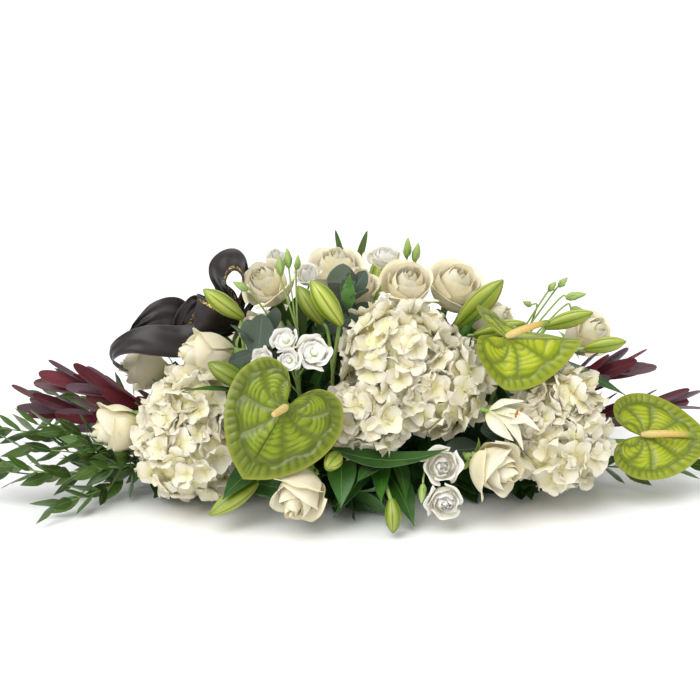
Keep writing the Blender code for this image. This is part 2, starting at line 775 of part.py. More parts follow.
def make_open_lily(materials):
    base, mouth, root = (Vector(OPEN_LILY[key]) for key in ("base", "mouth", "root"))
    along = (mouth - base).normalized()
    long = (mouth - base).length
    rings = [[Vector((0, 0, 0))]]
    for pair in OPEN_LILY_RINGS:
        ring = []
        for k in range(2 * TEPALS):
            out, up = pair[k % 2]
            around = pi * k / TEPALS
            reach = OPEN_LILY_SPREAD * out
            ring.append(Vector((reach * cos(around), reach * sin(around), long * up)))
        rings.append(ring)
    rings.append([Vector((0, 0, long * 0.2))])
    cup = placed(loft(rings), frame_at(base, along))
    out = leaves_foam_at(root, base)
    path = smooth_path([root, out, base - along * 5, base + along * SUNK])
    pieces = [cup, stem(path, LILY_STEM_RADIUS)]
    keep_stem(path, LILY_STEM_RADIUS)
    keep_along(base, base + along * 14, OPEN_LILY_SPREAD * 0.5)
    keep_along(base + along * 14, mouth, OPEN_LILY_SPREAD * 0.85)
    joined("lily_open", pieces, materials["cream_petal"])


# Right half of the spathe's outline, from the notch at the foot round the lobe to the tip,
# as shares of the half width and of the length from foot to tip (the tip is at -1)
SPATHE_OUTLINE = (
    (0.03, 0.04), (0.18, 0.28), (0.50, 0.41), (0.84, 0.32), (1.0, 0.04),
    (0.94, -0.28), (0.70, -0.60), (0.36, -0.84), (0.12, -0.95),
)
SPATHE_RINGS = (0.34, 0.72)
SPATHE_THICKNESS = 1.6


def spathe_point(across, along, width, length, fold):
    """Place on the spathe's face: a shallow dish, folded down beside the midrib, with quilted veins."""
    x, y = across * width / 2, along * length
    reach = sqrt(across * across + along * along)
    quilt = 1.1 * sin(9 * along + 5 * abs(across)) * min(1, reach * 1.6) * min(1, abs(across) * 4)
    dish = 7 * reach * reach - 10 * max(0.0, -along - 0.6)
    bend = radians(fold)
    return Vector((x * cos(bend), y, -abs(x) * sin(bend) + dish * 0.6 + quilt))


def spathe(width, length, fold):
    """Heart-shaped blade in its own frame: foot at the origin, tip along -Y, face towards +Z."""
    right = list(SPATHE_OUTLINE)
    outline = right + [(0.0, -1.0)] + [(-x, y) for x, y in reversed(right)]
    bm = bmesh.new()
    foot_top = bm.verts.new((0, 0, SPATHE_THICKNESS / 2))
    foot_low = bm.verts.new((0, 0, -SPATHE_THICKNESS / 2))
    columns = []
    for x, y in outline:
        rim = bm.verts.new(spathe_point(x, y, width, length, fold))
        top, low = [foot_top], [foot_low]
        for share in SPATHE_RINGS:
            place = spathe_point(x * share, y * share, width, length, fold)
            half = Vector((0, 0, SPATHE_THICKNESS / 2))
            top.append(bm.verts.new(place + half))
            low.append(bm.verts.new(place - half))
        columns.append((top + [rim], low + [rim]))
    for (top_a, low_a), (top_b, low_b) in zip(columns, columns[1:]):
        for side_a, side_b in ((top_a, top_b), (low_b, low_a)):
            for i in range(len(side_a) - 1):
                ring = [side_a[i], side_a[i + 1], side_b[i + 1], side_b[i]]
                corners = list(dict.fromkeys(ring))
                bm.faces.new(corners[:3])
                if len(corners) == 4:
                    bm.faces.new((corners[0], corners[2], corners[3]))
    for top, low in (columns[0], columns[-1]):
        for i in range(len(top) - 1):
            ring = list(dict.fromkeys([top[i], top[i + 1], low[i + 1], low[i]]))
            bm.faces.new(ring)
    bmesh.ops.recalc_face_normals(bm, faces=bm.faces)
    return bm


def seat(piece, carrier, way):
    """Moves piece back along way until it lies SEAT_GAP from its carrier."""
    travel = []
    for moving, still, heading in ((piece, carrier, -way), (carrier, piece, way)):
        tree = BVHTree.FromBMesh(still)
        distances = [tree.ray_cast(vert.co, heading)[3] for vert in moving.verts]
        travel += [distance for distance in distances if distance is not None]
    bmesh.ops.translate(piece, vec=way * (SEAT_GAP - min(travel)), verts=piece.verts)


def make_anthuriums(materials):
    for name, flower in ANTHURIUMS.items():
        foot = Vector(flower["foot"])
        face = direction(flower["face"])
        flat_up = (UP - face * UP.dot(face)).normalized()
        sideways = flat_up.cross(face)
        turn = radians(flower["turn"])
        towards_tip = flat_up * cos(turn) + sideways * sin(turn)
        matrix = frame_at(foot, face, x_hint=(-towards_tip).cross(face))
        blade = placed(spathe(flower["width"], flower["length"], flower["fold"]), matrix)
        for vert in list(blade.verts)[::3]:
            keep_round(vert.co, 5)
        root = Vector(flower["root"])
        out = leaves_foam_at(root, foot - face * 30)
        meets = foot + towards_tip * ANTHURIUM_STEM_RADIUS - face * SPATHE_THICKNESS / 4
        path = smooth_path([root, out, foot - face * 16, meets])
        keep_stem(path, ANTHURIUM_STEM_RADIUS)
        tip = Vector(flower["spadix"])
        along = (tip - foot).normalized()
        start = foot + face * (SPATHE_THICKNESS / 2 + SEAT_GAP + SPADIX_RADIUS * 0.7) + along * 2
        spine = [start.lerp(tip, share) for share, _ in SPADIX_PROFILE]
        radii = [SPADIX_RADIUS * wide for _, wide in SPADIX_PROFILE]
        keep_along(start, tip, SPADIX_RADIUS + 1)
        spadix = loft(tube_rings(spine, radii, SPADIX_SIDES))
        seat(spadix, blade, face)
        joined(name + "_spadix", [spadix], materials["spadix_yellow"])
        pieces = [blade, stem(path, ANTHURIUM_STEM_RADIUS)]
        joined(name, pieces, materials["spathe_green"], solver="MANIFOLD")


def spiral_directions(count, axis, lowest):
    """Evenly spaced unit vectors over the part of a sphere whose cosine with axis is above lowest."""
    matrix = frame_at((0, 0, 0), axis).to_3x3()
    found = []
    for k in range(count):
        z = 1 - (1 - lowest) * (k + 0.5) / count
        around = k * pi * (3 - sqrt(5))
        found.append(matrix @ Vector((sqrt(1 - z * z) * cos(around), sqrt(1 - z * z) * sin(around), z)))
    return found


# Four marks to a floret, one set to each petal: place from the floret's middle outwards, swing round it
# from the petal's middle, and rise. Two high marks make the petal's rim and a low one the notch beside it.
PETAL_MARKS = ((0.92, -0.34, 1.0), (0.92, 0.34, 0.8), (0.66, pi / 4, -0.9))
FLORET_REACH = 0.86
FLORET_DEPTH = 7.5
FLORET_TURN = 2.4

# The florets end at this cosine from the way the head faces. Below it the head is shrunk, on plain marks.
HEAD_FLOOR = -0.62
UNDERSIDE = 0.55
UNDERSIDE_MARKS = 14
UNDERSIDE_SPREAD = 0.78
HEAD_LUMPS = 0.05
PROBE_STEP = 1.5


def inside_foam(point, margin):
    half = FOAM_SIZE / 2
    return (
        abs(point.x) < half.x + margin
        and abs(point.y) < half.y + margin
        and FOAM_BOTTOM - margin < point.z < FOAM_BOTTOM + FOAM_SIZE.z + margin
    )


def head_reach(centre, way, balls, margin):
    """How far the head reaches along way before it leaves its balls or meets a neighbour."""
    reach = 0.0
    for middle, radius in balls:
        offset = Vector(middle) - centre
        along = way.dot(offset)
        inside = radius * radius - offset.length_squared + along * along
        if inside > 0:
            reach = max(reach, along + sqrt(inside))
    near = [(c, r + margin) for c, r in obstacles if (c - centre).length < reach + r + margin]
    distance = PROBE_STEP
    while distance < reach:
        point = centre + way * distance
        if point.z < TABLE_GAP + 2 or inside_foam(point, margin):
            break
        if any((point - c).length < r for c, r in near):
            break
        distance += PROBE_STEP
    return min(distance, reach)


def floret_marks(florets, face):
    """Directions and rises of the petals of florets spread over the head, and of its plain underside."""
    half_angle = FLORET_REACH * sqrt(2 * (1 - HEAD_FLOOR) / florets)
    marks = []
    for k, middle in enumerate(spiral_directions(florets, face, HEAD_FLOOR)):
        frame = frame_at((0, 0, 0), middle).to_3x3()
        for petal in range(4):
            for share, swing, rise in PETAL_MARKS:
                around = FLORET_TURN * k + petal * pi / 2 + swing
                tilt = half_angle * share
                way = frame @ Vector((sin(tilt) * cos(around), sin(tilt) * sin(around), cos(tilt)))
                marks.append((way, rise))
    for way in spiral_directions(UNDERSIDE_MARKS, -face, UNDERSIDE_SPREAD):
        marks.append((way, 0.0))
    return marks


def hydrangea(head):
    """Head of four-petalled florets raised from one closed surface, and shrunk on its underside."""
    balls = head["balls"]
    centre = sum((Vector(m) * r for m, r in balls), Vector()) / sum(r for _, r in balls)
    face = direction(head["face"])
    least = 0.12 * sum(r for _, r in balls) / len(balls)
    bm = bmesh.new()
    rises = {bm.verts.new(way): rise for way, rise in floret_marks(head["florets"], face)}
    bmesh.ops.convex_hull(bm, input=bm.verts)
    for vert, rise in rises.items():
        way = vert.co.normalized()
        facing = min(1.0, max(0.0, (way.dot(face) - HEAD_FLOOR) * 2.2))
        reach = head_reach(centre, way, balls, HEAD_CLEARANCE)
        swell = 1 + HEAD_LUMPS * noise.noise(way * 2.3 + centre * 0.02)
        reach *= min(1.0, swell * (UNDERSIDE + (1 - UNDERSIDE) * facing))
        reach -= (1 - rise) * FLORET_DEPTH / 2
        vert.co = centre + way * max(reach, least)
    return bm, centre


def make_hydrangeas(materials):
    for name, head in HYDRANGEAS.items():
        bm, centre = hydrangea(head)
        root = Vector(head["root"])
        out = leaves_foam_at(root, centre)
        joined(name, [bm, stem([root, out, centre], HYDRANGEA_STEM_RADIUS)], materials["white_petal"])
        keep_along(out, centre, HYDRANGEA_STEM_RADIUS)
        for middle, radius in head["balls"]:
            keep_round(middle, radius)


def leafy_branch(branch):
    """Stem and leaves of one branch; the leaves turn round the stem and lean less towards its tip."""
    kind = LEAF_KINDS[branch["kind"]]
    path = smooth_path(branch["stem"])
    pieces = [stem(path, branch["radius"], taper=0.5)]
    spines = []
    lengths = [0.0]
    for a, b in zip(path, path[1:]):
        lengths.append(lengths[-1] + (b - a).length)
    count = branch["leaves"]
    for k in range(count):
        share = kind["first"] + (1 - kind["first"]) * (k + 0.5) / count
        goal = share * lengths[-1]
        i = max(j for j in range(len(path) - 1) if lengths[j] <= goal)
        point = path[i].lerp(path[i + 1], (goal - lengths[i]) / (lengths[i + 1] - lengths[i]))
        along = (path[i + 1] - path[i]).normalized()
        around = radians(kind["turn"] * k + 40 * branch["seed"])
        frame = frame_at(point, along).to_3x3()
        outward = frame @ Vector((cos(around), sin(around), 0))
        lean = radians(kind["lean"] * (1.1 - 0.5 * share))
        heading = along * cos(lean) + outward * sin(lean)
        vary = noise.noise(Vector((k * 1.7, branch["seed"] * 3.1, 0.5)))
        long = kind["long"] * (1 + 0.22 * vary)
        tip = point + heading * long
        face = outward * cos(lean) - along * sin(lean)
        wide = kind["wide"] * (1 + 0.15 * vary)
        small = branch["kind"] != "salal"
        blade = leaf(point, tip, face, wide, kind["shoulder"], kind["cup"], arch=-0.04, small=small)
        if blade:
            pieces.append(blade)
            spines.append((point.lerp(tip, 0.25), point.lerp(tip, 0.85), kind["wide"] * 0.3))
    for spine in spines:
        keep_along(*spine)
    keep_stem(path, branch["radius"])
    return pieces


def make_branches(materials):
    for name, branch in BRANCHES.items():
        joined(name, leafy_branch(branch), materials[LEAF_KINDS[branch["kind"]]["material"]])


def ribbon_strip(line, side):
    """Flat strip along a smooth line, its width along side. It is gathered where it lies at the knot."""
    path = smooth_path(line)
    rings = []
    for i, point in enumerate(path):
        along = (path[min(i + 1, len(path) - 1)] - path[max(i - 1, 0)]).normalized()
        wide = RIBBON_WIDTH * min(1.0, RIBBON_GATHER + (point - RIBBON_KNOT).length / RIBBON_WIDTH)
        across = (side - along * side.dot(along)).normalized() * wide / 2
        face = along.cross(across).normalized() * RIBBON_THICKNESS / 2
        left, right = point - across, point + across
        rings.append([left - face, right - face, right + face, left + face])
    return loft(rings)


def make_ribbon(materials):
    root = Vector(RIBBON_ROOT)
    out = leaves_foam_at(root, RIBBON_KNOT)
    knot = bmesh.new()
    place = Matrix.Translation(RIBBON_KNOT)
    bmesh.ops.create_icosphere(knot, subdivisions=1, radius=RIBBON_KNOT_RADIUS, matrix=place)
    pieces = [knot, stem([root, out, RIBBON_KNOT], PICK_RADIUS)]
    for loop in RIBBON_LOOPS:
        line = [RIBBON_KNOT + Vector(p) for p in loop["line"]]
        pieces.append(ribbon_strip(line, Vector(loop["side"])))
        for a, b in zip(line, line[1:]):
            keep_along(a, b, RIBBON_WIDTH * 0.3)
    keep_along(out, RIBBON_KNOT, PICK_RADIUS)
    joined("ribbon_bow", pieces, materials["black_satin"])


def rounded_box(size, bottom, top, corner, grow=0.0):
    """Loft between two rounded rectangles, the upper one wider by grow on each side."""
    rings = []
    steps = 3
    for height, more in ((bottom, 0.0), (top, grow)):
        ring = []
        for sx, sy, start in ((1, 1, 0), (-1, 1, 90), (-1, -1, 180), (1, -1, 270)):
            for k in range(steps + 1):
                angle = radians(start + 90 * k / steps)
                x = sx * (size.x / 2 + more - corner) + corner * cos(angle)
                y = sy * (size.y / 2 + more - corner) + corner * sin(angle)
                ring.append(Vector((x, y, height)))
        rings.append(ring)
    return loft(rings)


def make_tray_and_foam(materials):
    around = Vector((FOAM_SIZE.x + TRAY_CLEARANCE, FOAM_SIZE.y + TRAY_CLEARANCE, 0))
    wall = Vector((TRAY_WALL * 2, TRAY_WALL * 2, 0))
    outer = rounded_box(around + wall, 0, TRAY_HEIGHT, TRAY_CORNER, TRAY_FLARE)
    inner = rounded_box(around, TRAY_FLOOR, TRAY_HEIGHT + TRAY_FLOOR, TRAY_CORNER - TRAY_WALL, TRAY_FLARE)
    joined("tray", [outer, inner], materials["tray_plastic"], operation="DIFFERENCE")
    block = bmesh.new()
    bmesh.ops.create_cube(block, size=1)
    bmesh.ops.scale(block, vec=FOAM_SIZE, verts=block.verts)
    bmesh.ops.translate(block, vec=(0, 0, FOAM_BOTTOM + FOAM_SIZE.z / 2), verts=block.verts)
    pieces = [block] + [loft(rings) for rings in stem_sockets]
    joined("foam_block", pieces, materials["floral_foam"], operation="DIFFERENCE")


def main():
    for obj in list(bpy.data.objects):
        bpy.data.objects.remove(obj)
    materials = make_materials()
    make_roses(materials)
    make_lisianthus(materials)
    make_lilies(materials)
    make_open_lily(materials)
    make_anthuriums(materials)
    make_hydrangeas(materials)
    make_ribbon(materials)
    make_branches(materials)
    make_tray_and_foam(materials)


main()
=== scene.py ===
import random
from math import acos, atan, atan2, cos, exp, pi, radians, sin, sqrt

import bmesh
import bpy
from mathutils import Matrix, Vector, noise


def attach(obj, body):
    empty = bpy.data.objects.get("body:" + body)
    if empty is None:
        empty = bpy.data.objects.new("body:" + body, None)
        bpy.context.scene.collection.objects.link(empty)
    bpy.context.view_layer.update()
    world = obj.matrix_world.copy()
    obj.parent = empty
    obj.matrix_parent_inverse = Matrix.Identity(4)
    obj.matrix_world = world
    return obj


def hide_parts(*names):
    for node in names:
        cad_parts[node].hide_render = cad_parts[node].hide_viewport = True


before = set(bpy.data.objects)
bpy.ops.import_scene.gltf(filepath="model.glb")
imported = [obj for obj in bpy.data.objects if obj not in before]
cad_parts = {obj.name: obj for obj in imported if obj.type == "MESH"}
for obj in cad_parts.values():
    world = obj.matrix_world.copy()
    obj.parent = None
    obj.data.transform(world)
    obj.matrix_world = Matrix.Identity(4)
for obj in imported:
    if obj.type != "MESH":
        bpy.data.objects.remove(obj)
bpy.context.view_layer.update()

# A long low funeral arrangement: cream roses, hydrangea, lisianthus, lilies, anthuriums and a black bow.
# Lengths are in millimetres, and finishPiece turns them into metres.
up = Vector((0, 0, 1))
goldenTurn = pi * (3 - sqrt(5))
restHeight = 2  # what would sink below this lies flat on the table
lowestTip = 5.0  # leaf tips of the branches stay above this, and those of the fill above lowestFill
lowestFill = 7
mostBend = 24  # a leaf that would have to bend further than this is left out
stemRadii = {
    "rose": 2.9, "roseFork": 2.6, "lisianthus": 2.0, "lisianthusFork": 1.15, "lily": 2.3, "lilyFork": 1.9,
    "openLily": 2.4, "anthurium": 2.7, "hydrangea": 3.2, "pick": 1.5,
}


def facing(around, lift):
    a, b = radians(around), radians(lift)
    return Vector((sin(a) * cos(b), -cos(a) * cos(b), sin(b)))


def outAt(around):
    return Vector((cos(around), sin(around), 0))


def upright(*heights):
    return [Vector((0, 0, z)) for z in heights]


def frameAt(origin, zAxis, xHint=None):
    z = Vector(zAxis).normalized()
    hint = Vector(xHint) if xHint is not None else up.cross(z)
    if hint.cross(z).length < 1e-4:
        hint = Vector((1, 0, 0))
    y = z.cross(hint).normalized()
    matrix = Matrix((y.cross(z), y, z)).transposed().to_4x4()
    matrix.translation = Vector(origin)
    return matrix


def smoothPath(points, steps=4):
    points = [Vector(p) for p in points]
    ends = [points[0] * 2 - points[1]] + points + [points[-1] * 2 - points[-2]]
    path = [points[0]]
    for i in range(len(points) - 1):
        a, b, c, d = ends[i : i + 4]
        for k in range(1, steps + 1):
            t = k / steps
            square = (2 * a - 5 * b + 4 * c - d) * t * t
            cube = (3 * b - a - 3 * c + d) * t**3
            path.append(0.5 * (2 * b + (c - a) * t + square + cube))
    return path


def alongPath(path, share):
    # point and heading at a share of the path's length
    lengths = [(b - a).length for a, b in zip(path, path[1:])]
    left = share * sum(lengths)
    for a, b, length in zip(path, path[1:], lengths):
        if left <= length:
            return a.lerp(b, left / length), (b - a).normalized()
        left -= length
    return path[-1], (path[-1] - path[-2]).normalized()


# Room that the blooms take: leaves and florets bend or stop short of these balls
taken = []


def keepRound(point, radius):
    taken.append((Vector(point), radius))


def keepAlong(start, end, radius):
    start, end = Vector(start), Vector(end)
    steps = max(1, int((end - start).length / max(radius, 3)))
    for k in range(steps + 1):
        keepRound(start.lerp(end, k / steps), radius)


def clearOf(point, margin):
    shift = Vector()
    for turn in range(3):
        for centre, radius in taken:
            away = point + shift - centre
            short = radius + margin - away.length
            if short > 0:
                shift += away.normalized() * short
    shift.z += max(0.0, 1.5 - (point.z + shift.z))
    return shift


# Bits of mesh, which the pieces are heaped up from

def shell(across, along, place, thickness):
    # a grid laid into shape by place(x from -1 to 1, share along), then given its thickness
    bm = bmesh.new()
    bm.loops.layers.uv.new("UVMap")
    under = bm.verts.layers.float.new("under")
    bmesh.ops.create_grid(bm, x_segments=across, y_segments=along, size=1, calc_uvs=True)
    for vert in bm.verts:
        vert.co = place(vert.co.x, (vert.co.y + 1) / 2)
    front = set(bm.verts)
    bmesh.ops.solidify(bm, geom=bm.faces[:], thickness=thickness)
    for vert in bm.verts:
        vert[under] = 0.0 if vert in front else 1.0
    return toMesh(bm)


def toMesh(bm):
    mesh = bpy.data.meshes.new("bit")
    bm.to_mesh(mesh)
    bm.free()
    return mesh


def tube(path, radius, sides):
    # the rings of a UV sphere laid along a path; its poles close the ends. radius(share, around) or a number
    bm = bmesh.new()
    bm.loops.layers.uv.new("UVMap")
    bm.verts.layers.float.new("under")
    rows = len(path)
    bmesh.ops.create_uvsphere(bm, u_segments=sides, v_segments=rows + 1, radius=1, calc_uvs=True)
    frames = []
    xAxis = frameAt((0, 0, 0), path[1] - path[0]).to_3x3() @ Vector((1, 0, 0))
    for i in range(rows):
        heading = (path[min(i + 1, rows - 1)] - path[max(i - 1, 0)]).normalized()
        xAxis = (xAxis - heading * xAxis.dot(heading)).normalized()
        frames.append((xAxis, heading.cross(xAxis)))
    for vert in bm.verts:
        row = round(acos(max(-1.0, min(1.0, -vert.co.z))) / pi * (rows + 1))
        if row in (0, rows + 1):
            vert.co = path[0 if row == 0 else -1]
            continue
        i = row - 1
        around = atan2(vert.co.y, vert.co.x)
        r = radius(i / (rows - 1), around) if callable(radius) else radius
        vert.co = path[i] + (frames[i][0] * cos(around) + frames[i][1] * sin(around)) * r
    return toMesh(bm)


def addTo(pile, mesh, matrix=None, tone=0.5, keep=False):
    bit = mesh.copy() if keep else mesh
    if matrix is not None:
        bit.transform(matrix)
    layer = bit.attributes.new("tone", "FLOAT", "POINT")
    layer.data.foreach_set("value", [tone] * len(bit.vertices))
    pile.from_mesh(bit)
    bpy.data.meshes.remove(bit)


def finishPiece(name, pile, material, nodes, slotName, crease=50):
    for vert in pile.verts:
        if vert.co.z < restHeight:
            vert.co.z = restHeight * exp((vert.co.z - restHeight) / restHeight)
    bmesh.ops.scale(pile, vec=(0.001,) * 3, verts=pile.verts)
    mesh = bpy.data.meshes.new(name)
    pile.to_mesh(mesh)
    pile.free()
    mesh.materials.append(material)
    mesh.shade_smooth()
    mesh.set_sharp_from_angle(angle=radians(crease))
    piece = bpy.data.objects.new(name, mesh)
    bpy.context.scene.collection.objects.link(piece)
    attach(piece, "root")
    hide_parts(*nodes)
    return piece


# Materials

def linear(hexColour):
    parts = [int(hexColour[i : i + 2], 16) / 255 for i in (1, 3, 5)]
    return tuple(c / 12.92 if c <= 0.04045 else ((c + 0.055) / 1.055) ** 2.4 for c in parts) + (1.0,)


def firstOutput(source):
    return source.outputs[0] if isinstance(source, bpy.types.Node) else source


def addNode(material, kind, values=None, links=None, stops=None, **settings):
    tree = material.node_tree
    node = tree.nodes.new("ShaderNode" + kind)
    for name, value in settings.items():
        setattr(node, name, value)
    for socket, value in (values or {}).items():
        node.inputs[socket].default_value = value
    for socket, source in (links or {}).items():
        tree.links.new(firstOutput(source), node.inputs[socket])
    if stops:
        elements = node.color_ramp.elements
        while len(elements) < len(stops):
            elements.new(0.5)
        for element, (place, colour) in zip(elements, stops):
            element.position = place
            element.color = linear(colour)
    return node


def startMaterial(name, **sockets):
    material = bpy.data.materials.new(name)
    material.use_nodes = True
    shader = material.node_tree.nodes["Principled BSDF"]
    for socket, value in sockets.items():
        shader.inputs[socket.replace("_", " ")].default_value = value
    return material, shader


def wire(material, shader, **sources):
    # joins the finished colour, bump and the like to the shader
    for socket, source in sources.items():
        material.node_tree.links.new(firstOutput(source), shader.inputs[socket.replace("_", " ")])
    return material


# Petals: thin living skin with fine streaks from foot to rim. Light passes through, so shadows stay warm.
petalLooks = {
    "rosePetal": {
        "stops": [(0.0, "#c3c684"), (0.24, "#f0e4b0"), (0.55, "#f7eed2"), (0.92, "#f8f1dd"), (1.0, "#ece6b6")],
        "warm": "#f7e9b0", "streaks": 26, "soft": 0.35,
    },
    "hydrangeaPetal": {
        "stops": [(0.0, "#c6bf7a"), (0.25, "#e3d8ac"), (0.6, "#eae3d0"), (1.0, "#ece5d8")],
        "warm": "#f1ebbc", "streaks": 12, "soft": 0.25,
    },
    "lisianthusPetal": {
        "stops": [(0.0, "#b4c070"), (0.14, "#e0e0b4"), (0.3, "#f4f1e2"), (1.0, "#f5f2ee")],
        "warm": "#f0ecd0", "streaks": 20, "soft": 0.4,
    },
    "lilyTepal": {
        "stops": [(0.0, "#a8b450"), (0.2, "#d8d8a0"), (0.45, "#f0ebd8"), (1.0, "#f0ebd8")],
        "warm": "#dcdcaa", "streaks": 16, "soft": 0.2,
    },
}


def petalMaterial(name):
    look = petalLooks[name]
    material, shader = startMaterial(
        name, Roughness=0.5, IOR=1.4, Specular_IOR_Level=0.35, Sheen_Weight=0.15, Sheen_Roughness=0.5,
        Subsurface_Weight=look["soft"], Subsurface_Scale=0.003, Subsurface_Radius=(1.0, 0.85, 0.6),
    )
    uv = addNode(material, "TexCoord")
    parts = addNode(material, "SeparateXYZ", links={0: uv.outputs["UV"]})
    tint = addNode(material, "ValToRGB", links={0: parts.outputs[1]}, stops=look["stops"])
    tone = addNode(material, "Attribute", attribute_name="tone")
    blotch = addNode(material, "TexNoise", {"Scale": 55.0, "Detail": 3.0}, {0: uv.outputs["Object"]})  # each 18 mm
    amount = addNode(material, "Math", {}, {0: tone.outputs["Fac"], 1: blotch}, operation="MULTIPLY")
    warmed = addNode(material, "Mix", {7: linear(look["warm"])}, {0: amount, 6: tint}, data_type="RGBA")
    spread = addNode(material, "Mapping", {"Scale": (look["streaks"], 1.6, 1.0)}, {0: uv.outputs["UV"]})
    streak = addNode(material, "TexNoise", {"Scale": 1.0, "Detail": 4.0, "Roughness": 0.6}, {0: spread})
    veined = addNode(
        material, "Mix", {0: 0.16}, {6: warmed.outputs[2], 7: streak},
        data_type="RGBA", blend_type="SOFT_LIGHT",
    )
    bump = addNode(material, "Bump", {"Strength": 0.22, "Distance": 0.0006}, {"Height": streak})
    return wire(material, shader, Base_Color=veined.outputs[2], Normal=bump)


# Leaves: waxy skin, a pale midrib and side veins drawn from the leaf's own UV map, a duller underside
leafLooks = {
    "ruscusLeaf": {
        "dark": "#16280c", "light": "#4c6e2a", "rib": "#749245", "under": "#5c7a3c",
        "ribWidth": 0.05, "veins": ("long", 11.0), "veinDepth": 0.35, "rough": 0.33, "coat": 0.2,
    },
    "salalLeaf": {
        "dark": "#122a0e", "light": "#32591f", "rib": "#5f8540", "under": "#466c35",
        "ribWidth": 0.035, "veins": ("side", 9.0), "veinDepth": 0.5, "rough": 0.36, "coat": 0.2,
    },
    "eucalyptusLeaf": {
        "dark": "#2c3a2e", "light": "#4a5b49", "rib": "#697864", "under": "#68796a",
        "ribWidth": 0.03, "veins": ("side", 8.0), "veinDepth": 0.2, "rough": 0.55, "coat": 0.0,
    },
    "leucadendronLeaf": {
        "dark": "#2e1119", "light": "#6c2430", "rib": "#7c3642", "under": "#786470",
        "ribWidth": 0.04, "veins": ("long", 9.0), "veinDepth": 0.2, "rough": 0.4, "coat": 0.08,
    },
    "lilyLeaf": {
        "dark": "#173b12", "light": "#3f7324", "rib": "#6f9f45", "under": "#5d8a45",
        "ribWidth": 0.035, "veins": ("long", 13.0), "veinDepth": 0.45, "rough": 0.34, "coat": 0.25,
    },
}


def leafMaterial(name):
    look = leafLooks[name]
    material, shader = startMaterial(
        name, IOR=1.45, Coat_Weight=look["coat"], Coat_Roughness=0.25, Subsurface_Weight=0.05,
        Subsurface_Scale=0.001,
    )
    uv = addNode(material, "TexCoord")
    parts = addNode(material, "SeparateXYZ", links={0: uv.outputs["UV"]})
    tone = addNode(material, "Attribute", attribute_name="tone")
    under = addNode(material, "Attribute", attribute_name="under")
    aside = addNode(material, "Math", {1: 0.5}, {0: parts}, operation="SUBTRACT")
    reach = addNode(material, "Math", {}, {0: aside}, operation="ABSOLUTE")
    rib = addNode(
        material, "MapRange", {1: 0.0, 2: look["ribWidth"], 3: 1.0, 4: 0.0}, {0: reach},
        interpolation_type="SMOOTHSTEP",
    )
    run, veinCount = look["veins"]
    if run == "side":
        # side veins run out and forward from the midrib
        ahead = addNode(material, "Math", {1: -0.55}, {0: reach}, operation="MULTIPLY")
        placed = addNode(material, "Math", {}, {0: parts.outputs[1], 1: ahead}, operation="ADD")
        phase = addNode(material, "Math", {1: veinCount * 2 * pi}, {0: placed}, operation="MULTIPLY")
    else:
        # long veins run side by side from foot to tip
        phase = addNode(material, "Math", {1: veinCount * 2 * pi}, {0: parts}, operation="MULTIPLY")
    swing = addNode(material, "Math", {}, {0: phase}, operation="SINE")
    vein = addNode(
        material, "MapRange", {1: 0.72, 2: 1.0, 3: 0.0, 4: 1.0}, {0: swing},
        interpolation_type="SMOOTHSTEP",
    )
    cloud = addNode(material, "TexNoise", {"Scale": 60.0, "Detail": 4.0}, {0: uv.outputs["Object"]})  # 16 mm
    mixed = addNode(material, "Math", {}, {0: tone.outputs["Fac"], 1: cloud}, operation="ADD")
    shade = addNode(material, "MapRange", {1: 0.35, 2: 1.5, 3: 0.0, 4: 1.0}, {0: mixed})
    body = addNode(
        material, "Mix", {6: linear(look["dark"]), 7: linear(look["light"])}, {0: shade},
        data_type="RGBA",
    )
    faint = addNode(material, "Math", {1: look["veinDepth"] * 0.4}, {0: vein}, operation="MULTIPLY")
    lines = addNode(material, "Math", {}, {0: faint, 1: rib}, operation="MAXIMUM", use_clamp=True)
    softLines = addNode(material, "Math", {1: 0.75}, {0: lines}, operation="MULTIPLY")
    veined = addNode(
        material, "Mix", {7: linear(look["rib"])}, {0: softLines, 6: body.outputs[2]},
        data_type="RGBA",
    )
    turned = addNode(material, "Math", {1: 0.8}, {0: under.outputs["Fac"]}, operation="MULTIPLY")
    sided = addNode(
        material, "Mix", {7: linear(look["under"])}, {0: turned, 6: veined.outputs[2]},
        data_type="RGBA",
    )
    rough = addNode(
        material, "MapRange", {1: 0.3, 2: 0.7, 3: look["rough"] - 0.06, 4: look["rough"] + 0.1},
        {0: cloud},
    )
    bump = addNode(material, "Bump", {"Strength": 0.5, "Distance": 0.0004}, {"Height": lines}, invert=True)
    return wire(material, shader, Base_Color=sided.outputs[2], Roughness=rough, Normal=bump)


def stemMaterial():
    # cut flower stems: smooth green skin with long faint ribs and paler patches
    material, shader = startMaterial("greenStem", Roughness=0.42, IOR=1.45, Coat_Weight=0.1)
    coord = addNode(material, "TexCoord")
    patch = addNode(material, "TexNoise", {"Scale": 45.0, "Detail": 3.0}, {0: coord.outputs["Object"]})  # 22 mm
    tone = addNode(material, "Attribute", attribute_name="tone")
    amount = addNode(material, "Math", {}, {0: tone.outputs["Fac"], 1: patch}, operation="ADD")
    tint = addNode(
        material, "ValToRGB", links={0: amount},
        stops=[(0.3, "#3c5f24"), (0.8, "#6f9440"), (1.0, "#9cb565")],
    )
    ribs = addNode(material, "Mapping", {"Scale": (9.0, 0.6, 1.0)}, {0: coord.outputs["UV"]})
    grain = addNode(material, "TexNoise", {"Scale": 1.0}, {0: ribs})
    bump = addNode(material, "Bump", {"Strength": 0.2, "Distance": 0.0005}, {"Height": grain})
    return wire(material, shader, Base_Color=tint, Normal=bump)


